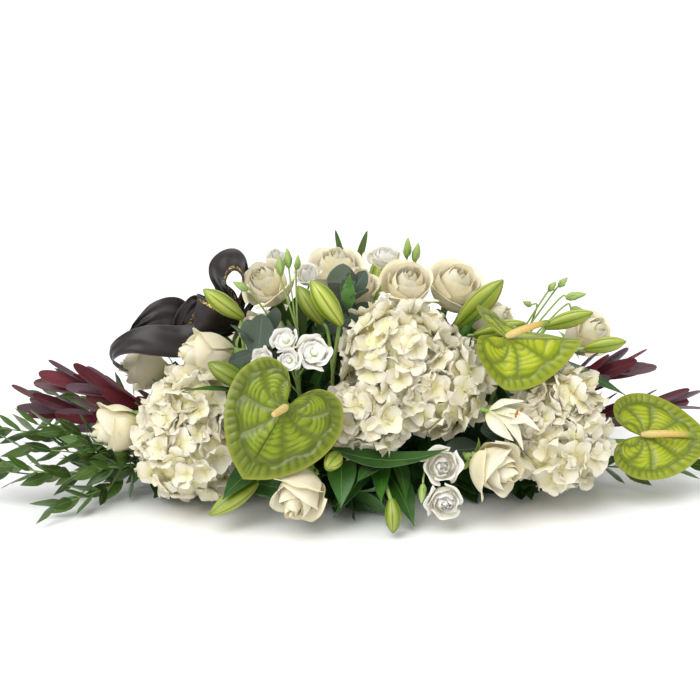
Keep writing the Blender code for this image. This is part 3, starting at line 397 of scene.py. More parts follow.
def budMaterial():
    # closed lily: three ribbed tepals, a dark line down each middle and a pale seam where two meet
    material, shader = startMaterial(
        "lilyBudSkin", Roughness=0.36, IOR=1.45, Coat_Weight=0.12, Subsurface_Weight=0.1,
        Subsurface_Scale=0.002,
    )
    coord = addNode(material, "TexCoord")
    parts = addNode(material, "SeparateXYZ", links={0: coord.outputs["UV"]})
    thirds = addNode(material, "Math", {1: 3.0}, {0: parts}, operation="MULTIPLY")
    within = addNode(material, "Math", {}, {0: thirds}, operation="FRACT")
    across = addNode(
        material, "ValToRGB", links={0: within},
        stops=[(0.0, "#5f7d2a"), (0.05, "#8ea63e"), (0.2, "#a9bb50"), (0.4, "#c9d276"), (0.46, "#b7c65c"),
               (0.5, "#4c6a1c"), (0.54, "#b7c65c"), (0.6, "#c9d276"), (0.8, "#a9bb50"), (0.95, "#8ea63e"),
               (1.0, "#5f7d2a")],
    )
    lengthwise = addNode(
        material, "ValToRGB", links={0: parts.outputs[1]},
        stops=[(0.0, "#a8b47c"), (0.25, "#e2e2ae"), (0.7, "#f2eec4"), (0.9, "#c4c890"), (1.0, "#8a9860")],
    )
    tone = addNode(material, "Attribute", attribute_name="tone")
    shaded = addNode(
        material, "Mix", {0: 0.85}, {6: across, 7: lengthwise},
        data_type="RGBA", blend_type="MULTIPLY",
    )
    body = addNode(
        material, "Mix", {7: linear("#4f6414")}, {0: tone.outputs["Fac"], 6: shaded.outputs[2]},
        data_type="RGBA",
    )
    fine = addNode(material, "Mapping", {"Scale": (42.0, 1.2, 1.0)}, {0: coord.outputs["UV"]})
    fibre = addNode(material, "TexNoise", {"Scale": 1.0, "Detail": 3.0}, {0: fine})
    veined = addNode(
        material, "Mix", {0: 0.35}, {6: body.outputs[2], 7: fibre},
        data_type="RGBA", blend_type="SOFT_LIGHT",
    )
    bump = addNode(material, "Bump", {"Strength": 0.3, "Distance": 0.0006}, {"Height": fibre})
    return wire(material, shader, Base_Color=veined.outputs[2], Normal=bump)


def spatheMaterial():
    # anthurium spathe: thick lacquered leaf, lime green; painted shade darkens the sunken veins and the hollows
    # between the quilts, and painted light makes the raised quilts paler; a pale rim
    material, shader = startMaterial(
        "lacqueredSpathe", Roughness=0.32, IOR=1.4, Coat_Weight=0.16, Coat_Roughness=0.12,
        Subsurface_Weight=0.06, Subsurface_Scale=0.001,
    )
    coord = addNode(material, "TexCoord")
    parts = addNode(material, "SeparateXYZ", links={0: coord.outputs["UV"]})
    vein = addNode(material, "Attribute", attribute_name="vein")
    swell = addNode(material, "Attribute", attribute_name="swell")
    tone = addNode(material, "Attribute", attribute_name="tone")
    cloud = addNode(material, "TexNoise", {"Scale": 30.0, "Detail": 4.0}, {0: coord.outputs["Object"]})  # 33 mm
    # painted shade and painted light: the quilts' relief (swell), with a little random cloud, sets how dark or pale
    # the green is
    raised = addNode(material, "Math", {1: 0.25}, {0: cloud}, operation="MULTIPLY")
    height = addNode(material, "Math", {}, {0: raised, 1: swell.outputs["Fac"]}, operation="ADD")
    deep = addNode(
        material, "ValToRGB", links={0: height},
        stops=[(0.1, "#2e3c02"), (0.45, "#4e5f04"), (0.85, "#74860f")],
    )
    paintedLit = addNode(
        material, "ValToRGB", links={0: height},
        stops=[(0.1, "#5c6c02"), (0.45, "#87960a"), (0.85, "#aab41c")],
    )
    # painted light: the tone chooses between the deeper and the paler greens by how lit the spathe is painted
    field = addNode(material, "Mix", {}, {0: tone.outputs["Fac"], 6: deep, 7: paintedLit}, data_type="RGBA")
    edge = addNode(
        material, "ValToRGB", links={0: parts.outputs[1]},
        stops=[(0.0, "#8a8a8a"), (0.12, "#000000"), (0.7, "#000000"), (0.92, "#606060"), (1.0, "#c0c0c0")],
    )
    body = addNode(
        material, "Mix", {7: linear("#adb43c")}, {0: edge, 6: field.outputs[2]}, data_type="RGBA",
    )
    lined = addNode(
        material, "Mix", {7: linear("#6f7d16")}, {0: vein.outputs["Fac"], 6: body.outputs[2]},
        data_type="RGBA",
    )
    pores = addNode(material, "TexNoise", {"Scale": 900.0, "Detail": 2.0}, {0: coord.outputs["Object"]})  # 1 mm
    bump = addNode(material, "Bump", {"Strength": 0.08, "Distance": 0.0003}, {"Height": pores})
    return wire(material, shader, Base_Color=lined.outputs[2], Normal=bump)


def spadixMaterial():
    # spadix: hundreds of tiny beads, cream yellow at the foot and greener towards the tip
    material, shader = startMaterial("beadedSpadix", Roughness=0.5, IOR=1.45)
    coord = addNode(material, "TexCoord")
    parts = addNode(material, "SeparateXYZ", links={0: coord.outputs["UV"]})
    tone = addNode(material, "Attribute", attribute_name="tone")
    ripe = addNode(material, "Math", {}, {0: parts.outputs[1], 1: tone.outputs["Fac"]}, operation="MULTIPLY")
    tint = addNode(
        material, "ValToRGB", links={0: ripe},
        stops=[(0.0, "#e0d08c"), (0.5, "#d8b768"), (0.72, "#c2ab52"), (0.85, "#7f9434"), (1.0, "#5f8028")],
    )
    beads = addNode(
        material, "TexVoronoi", {"Scale": 620.0}, {0: coord.outputs["Object"]}, feature="F1",
    )  # beads 1.6 mm across
    # painted shade: the colour is darker in the hollows between the beads
    paintedPitShade = addNode(
        material, "ValToRGB", links={0: beads},
        stops=[(0.25, "#ffffff"), (0.8, "#b49a58")],
    )
    shaded = addNode(material, "Mix", {0: 0.3}, {6: tint, 7: paintedPitShade}, data_type="RGBA", blend_type="MULTIPLY")
    bump = addNode(material, "Bump", {"Strength": 0.5, "Distance": 0.0004}, {"Height": beads}, invert=True)
    return wire(material, shader, Base_Color=shaded.outputs[2], Normal=bump)


def satinMaterial():
    # polyester satin: black, with long soft lights across the floats of its weave, and a fine corded edge
    material, shader = startMaterial(
        "blackSatin", Roughness=0.38, IOR=1.5, Specular_IOR_Level=0.4, Sheen_Weight=0.12,
        Sheen_Roughness=0.4, Anisotropic=0.5,
    )
    coord = addNode(material, "TexCoord")
    parts = addNode(material, "SeparateXYZ", links={0: coord.outputs["UV"]})
    threads = addNode(material, "Mapping", {"Scale": (90.0, 900.0, 1.0)}, {0: coord.outputs["UV"]})
    weave = addNode(material, "TexNoise", {"Scale": 1.0, "Detail": 2.0}, {0: threads})
    tint = addNode(
        material, "ValToRGB", links={0: weave},
        stops=[(0.3, "#1a1516"), (0.7, "#2c2424")],
    )
    edge = addNode(
        material, "ValToRGB", links={0: parts},
        stops=[(0.0, "#6a605a"), (0.02, "#000000"), (0.98, "#000000"), (1.0, "#6a605a")],
    )
    body = addNode(material, "Mix", {0: 0.7}, {6: tint, 7: edge}, data_type="RGBA", blend_type="ADD")
    bump = addNode(material, "Bump", {"Strength": 0.12, "Distance": 0.0002}, {"Height": weave})
    return wire(material, shader, Base_Color=body.outputs[2], Normal=bump)


def goldMaterial():
    # gold foil flecks glued in a narrow band on the satin: bright and broken, with the cloth between them
    material, shader = startMaterial("goldFleck", Roughness=0.32)
    coord = addNode(material, "TexCoord")
    flecks = addNode(material, "TexVoronoi", {"Scale": 650.0}, {0: coord.outputs["Object"]})  # 1.5 mm
    pick = addNode(material, "SeparateColor", links={0: flecks.outputs["Color"]})
    gilt = addNode(material, "Math", {1: 0.48}, {0: pick}, operation="GREATER_THAN")
    tint = addNode(
        material, "ValToRGB", links={0: pick.outputs[1]},
        stops=[(0.0, "#a8803a"), (0.6, "#e0bd6c"), (1.0, "#f6e2a4")],
    )
    body = addNode(
        material, "Mix", {6: linear("#1c1716")}, {0: gilt, 7: tint}, data_type="RGBA",
    )
    metal = addNode(material, "Math", {1: 0.85}, {0: gilt}, operation="MULTIPLY")
    bump = addNode(material, "Bump", {"Strength": 0.6, "Distance": 0.0005}, {"Height": pick.outputs[1]})
    return wire(material, shader, Base_Color=body.outputs[2], Metallic=metal, Normal=bump)


def foamMaterial():
    # phenolic foam brick soaked with water: dark moss green, open crumb with tiny pits, painted darker inside as
    # shade
    material, shader = startMaterial("wetFloralFoam", Roughness=0.92, IOR=1.33)
    coord = addNode(material, "TexCoord")
    crumb = addNode(material, "TexVoronoi", {"Scale": 420.0}, {0: coord.outputs["Object"]})  # 2.4 mm cells
    damp = addNode(material, "TexNoise", {"Scale": 18.0, "Detail": 5.0}, {0: coord.outputs["Object"]})  # 55 mm
    tint = addNode(
        material, "ValToRGB", links={0: damp},
        stops=[(0.3, "#1c3a20"), (0.7, "#2f5530")],
    )
    # painted shade: the pits are coloured darker than the crumb around them
    paintedPitShade = addNode(
        material, "ValToRGB", links={0: crumb}, stops=[(0.1, "#6f7f6c"), (0.5, "#ffffff")],
    )
    shaded = addNode(material, "Mix", {0: 0.6}, {6: tint, 7: paintedPitShade}, data_type="RGBA", blend_type="MULTIPLY")
    bump = addNode(material, "Bump", {"Strength": 0.7, "Distance": 0.0012}, {"Height": crumb})
    return wire(material, shader, Base_Color=shaded.outputs[2], Normal=bump)


def trayMaterial():
    # injection-moulded polypropylene: dark green, fine eggshell grain, scuffed a little lighter on the rim
    material, shader = startMaterial("mouldedPolypropylene", IOR=1.49)
    coord = addNode(material, "TexCoord")
    grain = addNode(material, "TexNoise", {"Scale": 1400.0, "Detail": 2.0}, {0: coord.outputs["Object"]})  # 0.7 mm
    scuff = addNode(material, "TexNoise", {"Scale": 35.0, "Detail": 6.0}, {0: coord.outputs["Object"]})
    tint = addNode(
        material, "ValToRGB", links={0: scuff}, stops=[(0.35, "#12281b"), (0.75, "#24402e")],
    )
    rough = addNode(material, "MapRange", {1: 0.3, 2: 0.7, 3: 0.34, 4: 0.55}, {0: scuff})
    bump = addNode(material, "Bump", {"Strength": 0.15, "Distance": 0.0002}, {"Height": grain})
    return wire(material, shader, Base_Color=tint, Roughness=rough, Normal=bump)


def pollenMaterial():
    # anthers dusted with pollen: rust orange, dry and grainy
    material, shader = startMaterial("dryPollen", Roughness=0.85)
    coord = addNode(material, "TexCoord")
    dust = addNode(material, "TexNoise", {"Scale": 1200.0, "Detail": 3.0}, {0: coord.outputs["Object"]})  # 0.8 mm
    tint = addNode(
        material, "ValToRGB", links={0: dust}, stops=[(0.3, "#8a4a1c"), (0.7, "#c98a35")],
    )
    return wire(material, shader, Base_Color=tint)


def sepalCoreInPaintedShadeMaterial():
    # the crowded inner florets of a hydrangea, seen only between the outer ones: cream going to yellow green, with
    # painted shade in the hollows of the folds; the core stands in for the shaded inside of the head
    material, shader = startMaterial("sepalCoreInPaintedShade", Roughness=0.7, Subsurface_Weight=0.2, Subsurface_Scale=0.004)
    coord = addNode(material, "TexCoord")
    folds = addNode(material, "TexNoise", {"Scale": 130.0, "Detail": 3.0}, {0: coord.outputs["Object"]})  # 8 mm
    # painted shade: the low places of the folds are coloured darker and greener, the raised ones cream
    tint = addNode(
        material, "ValToRGB", links={0: folds},
        stops=[(0.35, "#cfcd84"), (0.5, "#ede6b8"), (0.7, "#f5f0d8")],
    )
    bump = addNode(material, "Bump", {"Strength": 0.6, "Distance": 0.002}, {"Height": folds})
    return wire(material, shader, Base_Color=tint, Normal=bump)


petals = {name: petalMaterial(name) for name in petalLooks}
sepalCoreInPaintedShade = sepalCoreInPaintedShadeMaterial()
leaves = {name: leafMaterial(name) for name in leafLooks}
greenStem = stemMaterial()
budSkin = budMaterial()
lacquer = spatheMaterial()
beaded = spadixMaterial()
satin = satinMaterial()
gold = goldMaterial()
pollen = pollenMaterial()
print("materials ready")


# Where everything stands, as in the CAD source. Rose: middle, facing, width, height, stem end in the foam.
foamSize = Vector((450, 110, 97))
foamBottom = 3.3

roses = {
    "rose_left_low": [((-268, -94, 94), (-75, -12), 58, 60, (-195, -32, 62))],
    "rose_left_mid": [((-162, -80, 180), (-66, 6), 54, 70, (-146, -36, 60))],
    "rose_left_top": [
        ((-97, 0, 240), (-35, 42), 56, 58, (-94, 12, 60)),
        ((-104, -34, 194), (-60, 14), 46, 56, (-94, 12, 60)),
    ],
    "rose_top_left": [((-18, 40, 246), (-15, 66), 62, 60, (-28, 24, 60))],
    "rose_top_behind": [((11, -4, 236), (6, 66), 44, 54, (8, 2, 60))],
    "rose_top_centre": [((68, -18, 244), (8, 56), 60, 56, (58, -4, 60))],
    "rose_top_right": [
        ((124, 18, 232), (25, 56), 64, 60, (106, 22, 60)),
        ((170, 40, 186), (65, 32), 52, 56, (106, 22, 60)),
    ],
    "rose_front": [((-56, -190, 52), (-18, -32), 56, 66, (-46, -25, 50))],
    "rose_front_right": [((162, -166, 73), (46, -4), 58, 64, (128, -25, 52))],
    "rose_right": [((284, 22, 172), (50, 38), 56, 60, (190, 26, 60))],
    "rose_ribbon": [((-246, 10, 134), (-88, 4), 48, 62, (-190, 18, 60))],
    "rose_back_left": [((-158, 118, 112), (205, 18), 60, 58, (-130, 25, 60))],
    "rose_back_right": [((84, 118, 146), (165, 24), 60, 58, (64, 25, 60))],
}

# Lisianthus sprays: blooms (middle, facing, width, height), buds (base, tip, radius)
lisianthus = {
    "lisianthus_centre": {
        "blooms": [
            ((-40, -142, 201), (6, 28), 34, 26), ((-72, -120, 208), (-22, 38), 28, 24),
            ((-68, -158, 196), (2, 22), 24, 24), ((-98, -134, 188), (-34, 30), 25, 24),
        ],
        "buds": [], "fork": (-62, -92, 154), "root": (-52, -36, 60), "open": True,
    },
    "lisianthus_front": {
        "blooms": [((103, -172, 76), (4, 16), 40, 30), ((106, -184, 39), (6, -4), 38, 30)],
        "buds": [((82, -180, 58), (80, -194, 40), 4.5)],
        "fork": (90, -132, 64), "root": (88, -25, 50),
    },
    "lisianthus_top_left": {
        "blooms": [((-50, -6, 255), (-4, 62), 32, 24), ((-88, 42, 262), (-20, 62), 22, 28)],
        "buds": [], "fork": (-62, 26, 196), "root": (-60, 24, 60),
    },
    "lisianthus_buds_left": {
        "blooms": [],
        "buds": [
            ((-80, -44, 264), (-82, -46, 288), 5.0), ((-71, -40, 272), (-73, -42, 296), 4.6),
            ((-62, -40, 270), (-60, -42, 288), 3.6), ((-118, -66, 252), (-134, -72, 264), 4.5),
        ],
        "fork": (-62, -44, 200), "root": (-58, -40, 60),
    },
    "lisianthus_top": {
        "blooms": [((42, 48, 262), (0, 74), 40, 24)],
        "buds": [((68, 48, 262), (70, 44, 288), 5.0), ((78, 44, 258), (82, 42, 282), 5.0)],
        "fork": (46, 44, 204), "root": (40, 36, 60),
    },
    "lisianthus_right": {
        "blooms": [],
        "buds": [
            ((236, -2, 234), (244, -4, 246), 4.0), ((248, 2, 238), (258, 0, 250), 4.0),
            ((256, -4, 226), (280, -8, 232), 5.0), ((262, 0, 212), (282, -4, 208), 4.0),
            ((216, 4, 214), (206, 2, 220), 3.5),
        ],
        "fork": (210, 4, 190), "root": (176, 4, 60),
    },
}

# Lily stems: buds (base, tip, radius), leaves (tip, way the face looks, width), a point on the stem, its end
lilies = {
    "lily_bud_left_top": {
        "buds": [((-124, -66, 219), (-168, -76, 256), 11)],
        "leaves": [((-128, -108, 150), (-20, 50), 18)],
        "by": (-122, -68, 170), "root": (-112, -38, 64),
    },
    "lily_buds_middle": {
        "buds": [((-10, -96, 220), (-44, -96, 272), 13), ((-32, -72, 214), (-60, -68, 258), 11)],
        "leaves": [((0, -58, 270), (-10, 14), 17, (-2, -52, 226))],
        "by": (-20, -66, 150), "root": (-18, -30, 60),
    },
    "lily_buds_right_top": {
        "buds": [((126, -24, 196), (178, -42, 258), 14), ((146, -34, 188), (206, -38, 205), 10)],
        "leaves": [((150, -70, 226), (-10, 40), 13)],
        "by": (124, -22, 150), "root": (128, -6, 60),
    },
    "lily_buds_right": {
        "buds": [((228, -38, 200), (284, -44, 219), 10), ((274, -52, 178), (322, -58, 188), 9.5)],
        "leaves": [((322, -68, 126), (10, 40), 17)],
        "by": (208, -34, 160), "root": (186, -24, 60),
    },
    "lily_bud_left": {
        "buds": [((-116, -130, 158), (-160, -134, 186), 12)],
        "leaves": [((-186, -156, 160), (0, 60), 8)],
        "by": (-108, -100, 130), "root": (-92, -40, 60),
    },
    "lily_bud_front_left": {
        "buds": [((-106, -156, 50), (-158, -190, 24), 11)],
        "leaves": [((-142, -196, 46), (-20, 50), 30)],
        "by": (-94, -110, 58), "root": (-94, -25, 52),
    },
    "lily_bud_front": {
        "buds": [((46, -190, 44), (48, -204, 8), 9.5)],
        "leaves": [
            ((108, -190, 104), (4, 60), 27, (-22, -166, 96), -0.16), ((8, -200, 68), (-20, 30), 22),
            ((72, -186, 10), (20, 50), 34), ((-18, -190, 22), (0, 60), 18), ((36, -196, 40), (-10, 30), 26),
            ((62, -196, 44), (20, 20), 24),
        ],
        "by": (36, -120, 54), "root": (40, -25, 48),
    },
    "lily_bud_middle_low": {
        "buds": [((-14, -166, 88), (-26, -204, 86), 10)],
        "leaves": [((-10, -202, 38), (0, 50), 34)],
        "by": (-8, -110, 76), "root": (-4, -25, 56),
    },
    "lily_buds_back": {
        "buds": [((30, 118, 190), (44, 142, 246), 12), ((8, 116, 178), (-22, 146, 214), 11)],
        "leaves": [((60, 156, 176), (170, 50), 24)],
        "by": (20, 96, 140), "root": (16, 25, 70),
    },
}
openLily = {"base": (154, -140, 131), "mouth": (212, -164, 128), "root": (176, -25, 74)}

# Each spathe's share of the paler greens is painted light: the two that face up are painted paler, the front one
# deeper
anthuriums = {
    "anthurium_front": {
        "foot": (-70, -188, 152), "face": (-4, 16), "turn": 210, "length": 94, "width": 134,
        "fold": 8, "spadix": (-84, -220, 153), "root": (-70, -25, 64), "lobes": 0.0, "paintedLit": 0.15, "ripe": 0.4,
    },
    "anthurium_right": {
        "foot": (178, -112, 208), "face": (0, 62), "turn": 92, "length": 86, "width": 122,
        "fold": 40, "spadix": (226, -120, 230), "root": (152, -36, 50), "lobes": 42.0, "paintedLit": 0.9, "ripe": 1.0,
        "wing": 0.62,
    },
    "anthurium_far": {
        "foot": (342, -76, 78), "face": (4, 44), "turn": 96, "length": 82, "width": 112,
        "fold": 6, "spadix": (404, -96, 86), "root": (196, -14, 56), "lobes": 9.0, "paintedLit": 0.8, "ripe": 1.0,
    },
}

hydrangeas = {
    "hydrangea_left": {
        "balls": [((-178, -104, 124), 50), ((-184, -116, 78), 62)],
        "face": (-15, 0), "florets": 62, "root": (-168, -25, 66),
    },
    "hydrangea_centre": {
        "balls": [((52, -88, 182), 64), ((104, -100, 146), 57)],
        "face": (5, 20), "florets": 76, "root": (80, -40, 60),
    },
    "hydrangea_low": {
        "balls": [((20, -132, 122), 47)], "face": (-8, 0), "florets": 34, "root": (20, -25, 76),
    },
    "hydrangea_right": {
        "balls": [((242, -98, 126), 48), ((238, -110, 84), 58)],
        "face": (12, 0), "florets": 60, "root": (206, -25, 70),
    },
    "hydrangea_back": {
        "balls": [((-62, 108, 132), 56), ((-20, 114, 104), 50)],
        "face": (180, 10), "florets": 54, "root": (-34, 25, 66),
    },
    "hydrangea_back_right": {
        "balls": [((166, 104, 104), 50)], "face": (165, 10), "florets": 34, "root": (146, 25, 66),
    },
}

# Leafy branches: kind, seed of the turn round the stem, stem radius and its points from the foam outwards
branches = {
    "leucadendron_left_upper": ("leucadendron", 3, 3.0,
        [(-196, -8, 76), (-236, -34, 96), (-276, -44, 118), (-308, -44, 128)]),
    "leucadendron_left_lower": ("leucadendron", 5, 3.0,
        [(-196, -18, 50), (-240, -22, 64), (-300, -30, 84), (-346, -34, 98)]),
    "leucadendron_right_upper": ("leucadendron", 8, 3.0,
        [(196, 4, 74), (236, -4, 100), (276, -10, 124), (306, -14, 136)]),
    "leucadendron_right_lower": ("leucadendron", 12, 3.0,
        [(196, 8, 46), (244, 4, 60), (320, -6, 84), (372, -12, 96)]),
    "leucadendron_back": ("leucadendron", 21, 3.0,
        [(196, 34, 60), (236, 60, 72), (270, 96, 80), (300, 120, 86)]),
    "ruscus_left": ("ruscus", 2, 1.6,
        [(-196, -40, 40), (-244, -64, 36), (-340, -96, 36), (-440, -92, 44)]),
    "ruscus_front_left": ("ruscus", 2, 1.6,
        [(-204, 0, 36), (-240, -36, 30), (-290, -112, 24), (-340, -150, 20)]),
    "ruscus_right": ("ruscus", 6, 1.6,
        [(196, -34, 42), (248, -44, 36), (330, -48, 28), (430, -60, 40)]),
    "ruscus_back": ("ruscus", 9, 1.6,
        [(-196, 34, 46), (-240, 60, 54), (-310, 92, 58), (-380, 104, 40)]),
    "eucalyptus_left": ("eucalyptus", 2, 1.8,
        [(-78, -44, 60), (-84, -62, 110), (-98, -88, 165), (-110, -96, 206)]),
    "eucalyptus_top": ("eucalyptus", 5, 1.8,
        [(-4, -16, 60), (-4, -14, 130), (0, -34, 205), (4, -46, 250)]),
    "eucalyptus_front": ("eucalyptus", 7, 1.8,
        [(184, -25, 52), (188, -62, 60), (184, -94, 72), (176, -120, 84)]),
    "salal_front": ("salal", 3, 2.0,
        [(-24, -25, 46), (-26, -60, 44), (-16, -96, 34), (4, -128, 24)]),
    "salal_back": ("salal", 4, 2.2,
        [(-84, 25, 60), (-92, 68, 66), (-144, 92, 66), (-206, 96, 40)]),
    "salal_back_right": ("salal", 8, 2.2,
        [(104, 25, 50), (98, 68, 50), (64, 100, 44), (0, 136, 26)]),
    "salal_top": ("salal", 5, 2.2,
        [(-152, 4, 80), (-150, 10, 118), (-100, 51, 143), (-34, 84, 156)]),
}


def leavesFoamAt(root, towards):
    root = Vector(root)
    way = (Vector(towards) - root).normalized()
    out = Vector((6, 6, 6))
    low = Vector((-foamSize.x / 2, -foamSize.y / 2, foamBottom)) - out
    high = low + foamSize + out * 2
    reaches = [((high if way[i] > 0 else low)[i] - root[i]) / way[i] for i in range(3) if abs(way[i]) > 1e-6]
    return root + way * min(reaches)


def stemPath(root, base, way):
    root, base = Vector(root), Vector(base)
    out = leavesFoamAt(root, base - way * 0.3 * (base - root).length)
    reach = (base - out).length
    handleOut = out + (out - root).normalized() * reach * 0.35
    handleIn = base - way * reach * 0.35
    middle = (out + 3 * handleOut + 3 * handleIn + base) / 8
    return [root] + smoothPath([out, middle, base, base + way * 3], 4)


# Cup of petals, used for roses and lisianthus. share is 0 for the inmost petal and 1 for the outermost.
def cupPetal(share, turn, across, tall, look, seed):
    odd = noise.noise(Vector((seed * 1.9, 4.1, 2.7)))
    belly = across / 2 * (look["heart"] + (0.97 - look["heart"]) * share ** look["fill"]) * (1 + 0.05 * odd)
    height = tall * (look["inner"] + (look["outer"] - look["inner"]) * share**1.5) * (1 + 0.09 * odd)
    wrap = look["wrap"][0] + (look["wrap"][1] - look["wrap"][0]) * share
    flare = max(0.0, (share - look["opens"]) / (1 - look["opens"]))
    shut = (look["shut"][1] + (look["shut"][0] - look["shut"][1]) * (1 - share) ** 1.3) * (1 - flare)
    foot = tall * (0.02 + 0.2 * (1 - share))

    def place(x, v):
        widen = 0.38 + 0.62 * sin(min(1.0, v / 0.5) * pi / 2)
        around = turn + x * wrap * widen
        full = sin(min(1.0, v / 0.62) * pi / 2) ** 0.8
        top = max(0.0, (v - 0.55) / 0.45)
        rim = max(0.0, (v - 0.7) / 0.3)
        out = 3 + (belly - 3) * full - shut * belly * top**1.6
        out += flare * across * look["curl"] * (rim**1.6 + look["corner"] * abs(x) ** 3 * v)
        out += belly * 0.09 * x
        wobble = noise.noise(Vector((x * 1.6, v * 1.4, seed * 3.7)))
        ripple = sin(x * look["waves"] + seed * 2.1) * v**3
        out += across * (0.04 * wobble * v + look["ruffle"] * ripple * (0.4 + 0.6 * share))
        rise = foot + (height - foot) * v * (1 - look["round"] * abs(x) ** 2.4 * v)
        rise += tall * look["peak"] * exp(-((x / 0.22) ** 2)) * v**6
        rise += tall * (look["ruffle"] * 0.9 * noise.noise(Vector((x * 3.1, 7.3, seed))) * v**4)
        rise -= flare * tall * look["droop"] * rim**2
        return Vector((out * cos(around), out * sin(around), rise))

    return shell(look["grid"][0], look["grid"][1], place, look["thick"])


def cupOfPetals(pile, centre, way, across, tall, look, seed):
    base = Vector(centre) - way * tall / 2
    matrix = frameAt(base, way)
    count = look["petals"]
    for k in range(count):
        draw = random.Random(f"{seed} {k}")
        turn = goldenTurn * k + seed + draw.uniform(-0.2, 0.2)
        addTo(pile, cupPetal(k / (count - 1), turn, across, tall, look, seed * 5.3 + k), matrix, draw.random())
    return base


# Blades: leaves, sepals and tepals. A blade runs from base to tip and looks along face.
def bladeWidth(share, look):
    shoulder = look["shoulder"]
    if share < shoulder:
        return max(look.get("foot", 0.08), sin(pi / 2 * share / shoulder) ** look.get("swell", 0.8))
    return max(0.04, cos(pi / 2 * (share - shoulder) / (1 - shoulder)) ** look.get("point", 1.0))


def blade(base, tip, face, width, look, seed=0.0, free=True):
    base, tip = Vector(base), Vector(tip)
    length = (tip - base).length
    way = (tip - base).normalized()
    normal = (Vector(face) - way * Vector(face).dot(way)).normalized()
    side = way.cross(normal)
    rows = look["grid"][1]
    shares = [0.2 * i / rows + 0.4 * (1 - cos(pi * i / rows)) for i in range(rows + 1)]  # closer rows at both ends
    spine = []
    for s in shares:
        rise = look.get("arch", 0.05) * 4 * s * (1 - s) - look.get("hang", 0.0) * s * s
        spine.append(base + way * length * s + normal * length * rise)
    if free:
        shifts = [Vector()] + [clearOf(p, look.get("margin", 2.0)) for p in spine[1:]]
        for turn in range(3):
            shifts = [shifts[0]] + [
                (shifts[i - 1] + shifts[i] * 2 + shifts[min(i + 1, rows)]) / 4 for i in range(1, rows + 1)
            ]
        if max(s.length for s in shifts) > mostBend:
            return None
        spine = [p + s for p, s in zip(spine, shifts)]
    twist = look.get("twist", 0.0) * noise.noise(Vector((seed, 3.3, 1.1)))

    def place(x, v):
        i = round(v * rows)
        v = shares[i]
        ahead = (spine[min(i + 1, rows)] - spine[max(i - 1, 0)]).normalized()
        lifted = (normal - ahead * normal.dot(ahead)).normalized()
        across = ahead.cross(lifted)
        turn = twist * v
        across, lifted = across * cos(turn) + lifted * sin(turn), lifted * cos(turn) - across * sin(turn)
        half = width / 2 * bladeWidth(v, look)
        edge = look.get("cup", 0.1) * half * abs(x) ** 1.4
        edge += look.get("wave", 0.0) * half * sin(v * 11 + seed * 4 + (2 if x > 0 else 0)) * abs(x) ** 2
        return spine[i] + across * half * x + lifted * edge

    return shell(look["grid"][0], rows, place, look.get("thick", 0.5))


# Roses: tight spiral heart, broad outer petals that roll back, five sepals, a hip and the stem
roseLook = {
    "petals": 15, "grid": (14, 11), "thick": 0.45, "heart": 0.09, "fill": 0.8, "inner": 1.04, "outer": 0.8,
    "wrap": (1.9, 1.05), "shut": (0.62, 0.2), "opens": 0.5, "curl": 0.12, "droop": 0.09, "corner": 0.5,
    "round": 0.2, "peak": 0.03, "ruffle": 0.016, "waves": 3.0,
}
sepalLook = {"grid": (2, 6), "shoulder": 0.3, "cup": 0.3, "arch": 0.12, "hang": 0.1, "thick": 0.5}
print("roses")
for index, (node, blooms) in enumerate(roses.items()):
    heads, greens = bmesh.new(), bmesh.new()
    for k, (centre, aim, across, tall, root) in enumerate(blooms):
        way = facing(*aim)
        seed = index * 1.7 + k * 0.9
        base = cupOfPetals(heads, centre, way, across, tall, roseLook, seed)
        keepRound(Vector(centre) + way * tall * 0.08, across * 0.54)
        matrix = frameAt(base, way)
        hip = upright(-10, -8, -4, 0, 4, 7)
        shape = (2.6, 4.6, 5.6, 6.4, 7.2, 6.0)
        addTo(greens, tube(hip, lambda share, around: shape[round(share * 5)], 10), matrix, 0.6)
        for s in range(5):
            out = outAt(s * 2 * pi / 5 + seed)
            reach = 0.34 + 0.1 * sin(3.1 * s + seed)
            tip = out * across * reach + Vector((0, 0, tall * (0.22 if s % 2 else -0.02)))
            sepal = blade(out * 4, tip, out + up * 0.2, 8, sepalLook, seed + s, free=False)
            addTo(greens, sepal, matrix, 0.5)
        if k == 0:
            path = stemPath(root, base, way)
            addTo(greens, tube(path, stemRadii["rose"], 8), None, 0.4)
        else:
            join = path[-8].lerp(path[-6], 0.5)
            side = smoothPath([join, base - way * 14, base + way * 3])
            addTo(greens, tube(side, stemRadii["roseFork"], 8), None, 0.4)
        for a, b in zip(path[1:], path[2:]):
            keepAlong(a, b, 3)
    finishPiece(node + "_petals", heads, petals["rosePetal"], [node], "cream_petal")
    finishPiece(node + "_stem", greens, greenStem, [node], "lily_green")


# Lisianthus: ruffled cups with a green throat, and thin-stemmed buds with needle bracts
lisianthusLook = {
    "petals": 14, "grid": (12, 8), "thick": 0.4, "heart": 0.1, "fill": 0.85, "inner": 1.04, "outer": 0.8,
    "wrap": (1.5, 0.9), "shut": (0.55, 0.1), "opens": 0.4, "curl": 0.13, "droop": 0.1, "corner": 0.14,
    "round": 0.3, "peak": 0.0, "ruffle": 0.034, "waves": 6.0,
}
openLook = dict(
    lisianthusLook, petals=8, heart=0.56, fill=0.8, shut=(0.05, 0.0), opens=-0.6, curl=0.15, inner=0.86, outer=0.92,
    wrap=(0.95, 0.85),
)
throatLook = dict(
    lisianthusLook, petals=5, heart=0.3, shut=(0.5, 0.3), opens=1.5, wrap=(1.5, 1.3), ruffle=0.02, inner=1.0,
    outer=0.88,
)
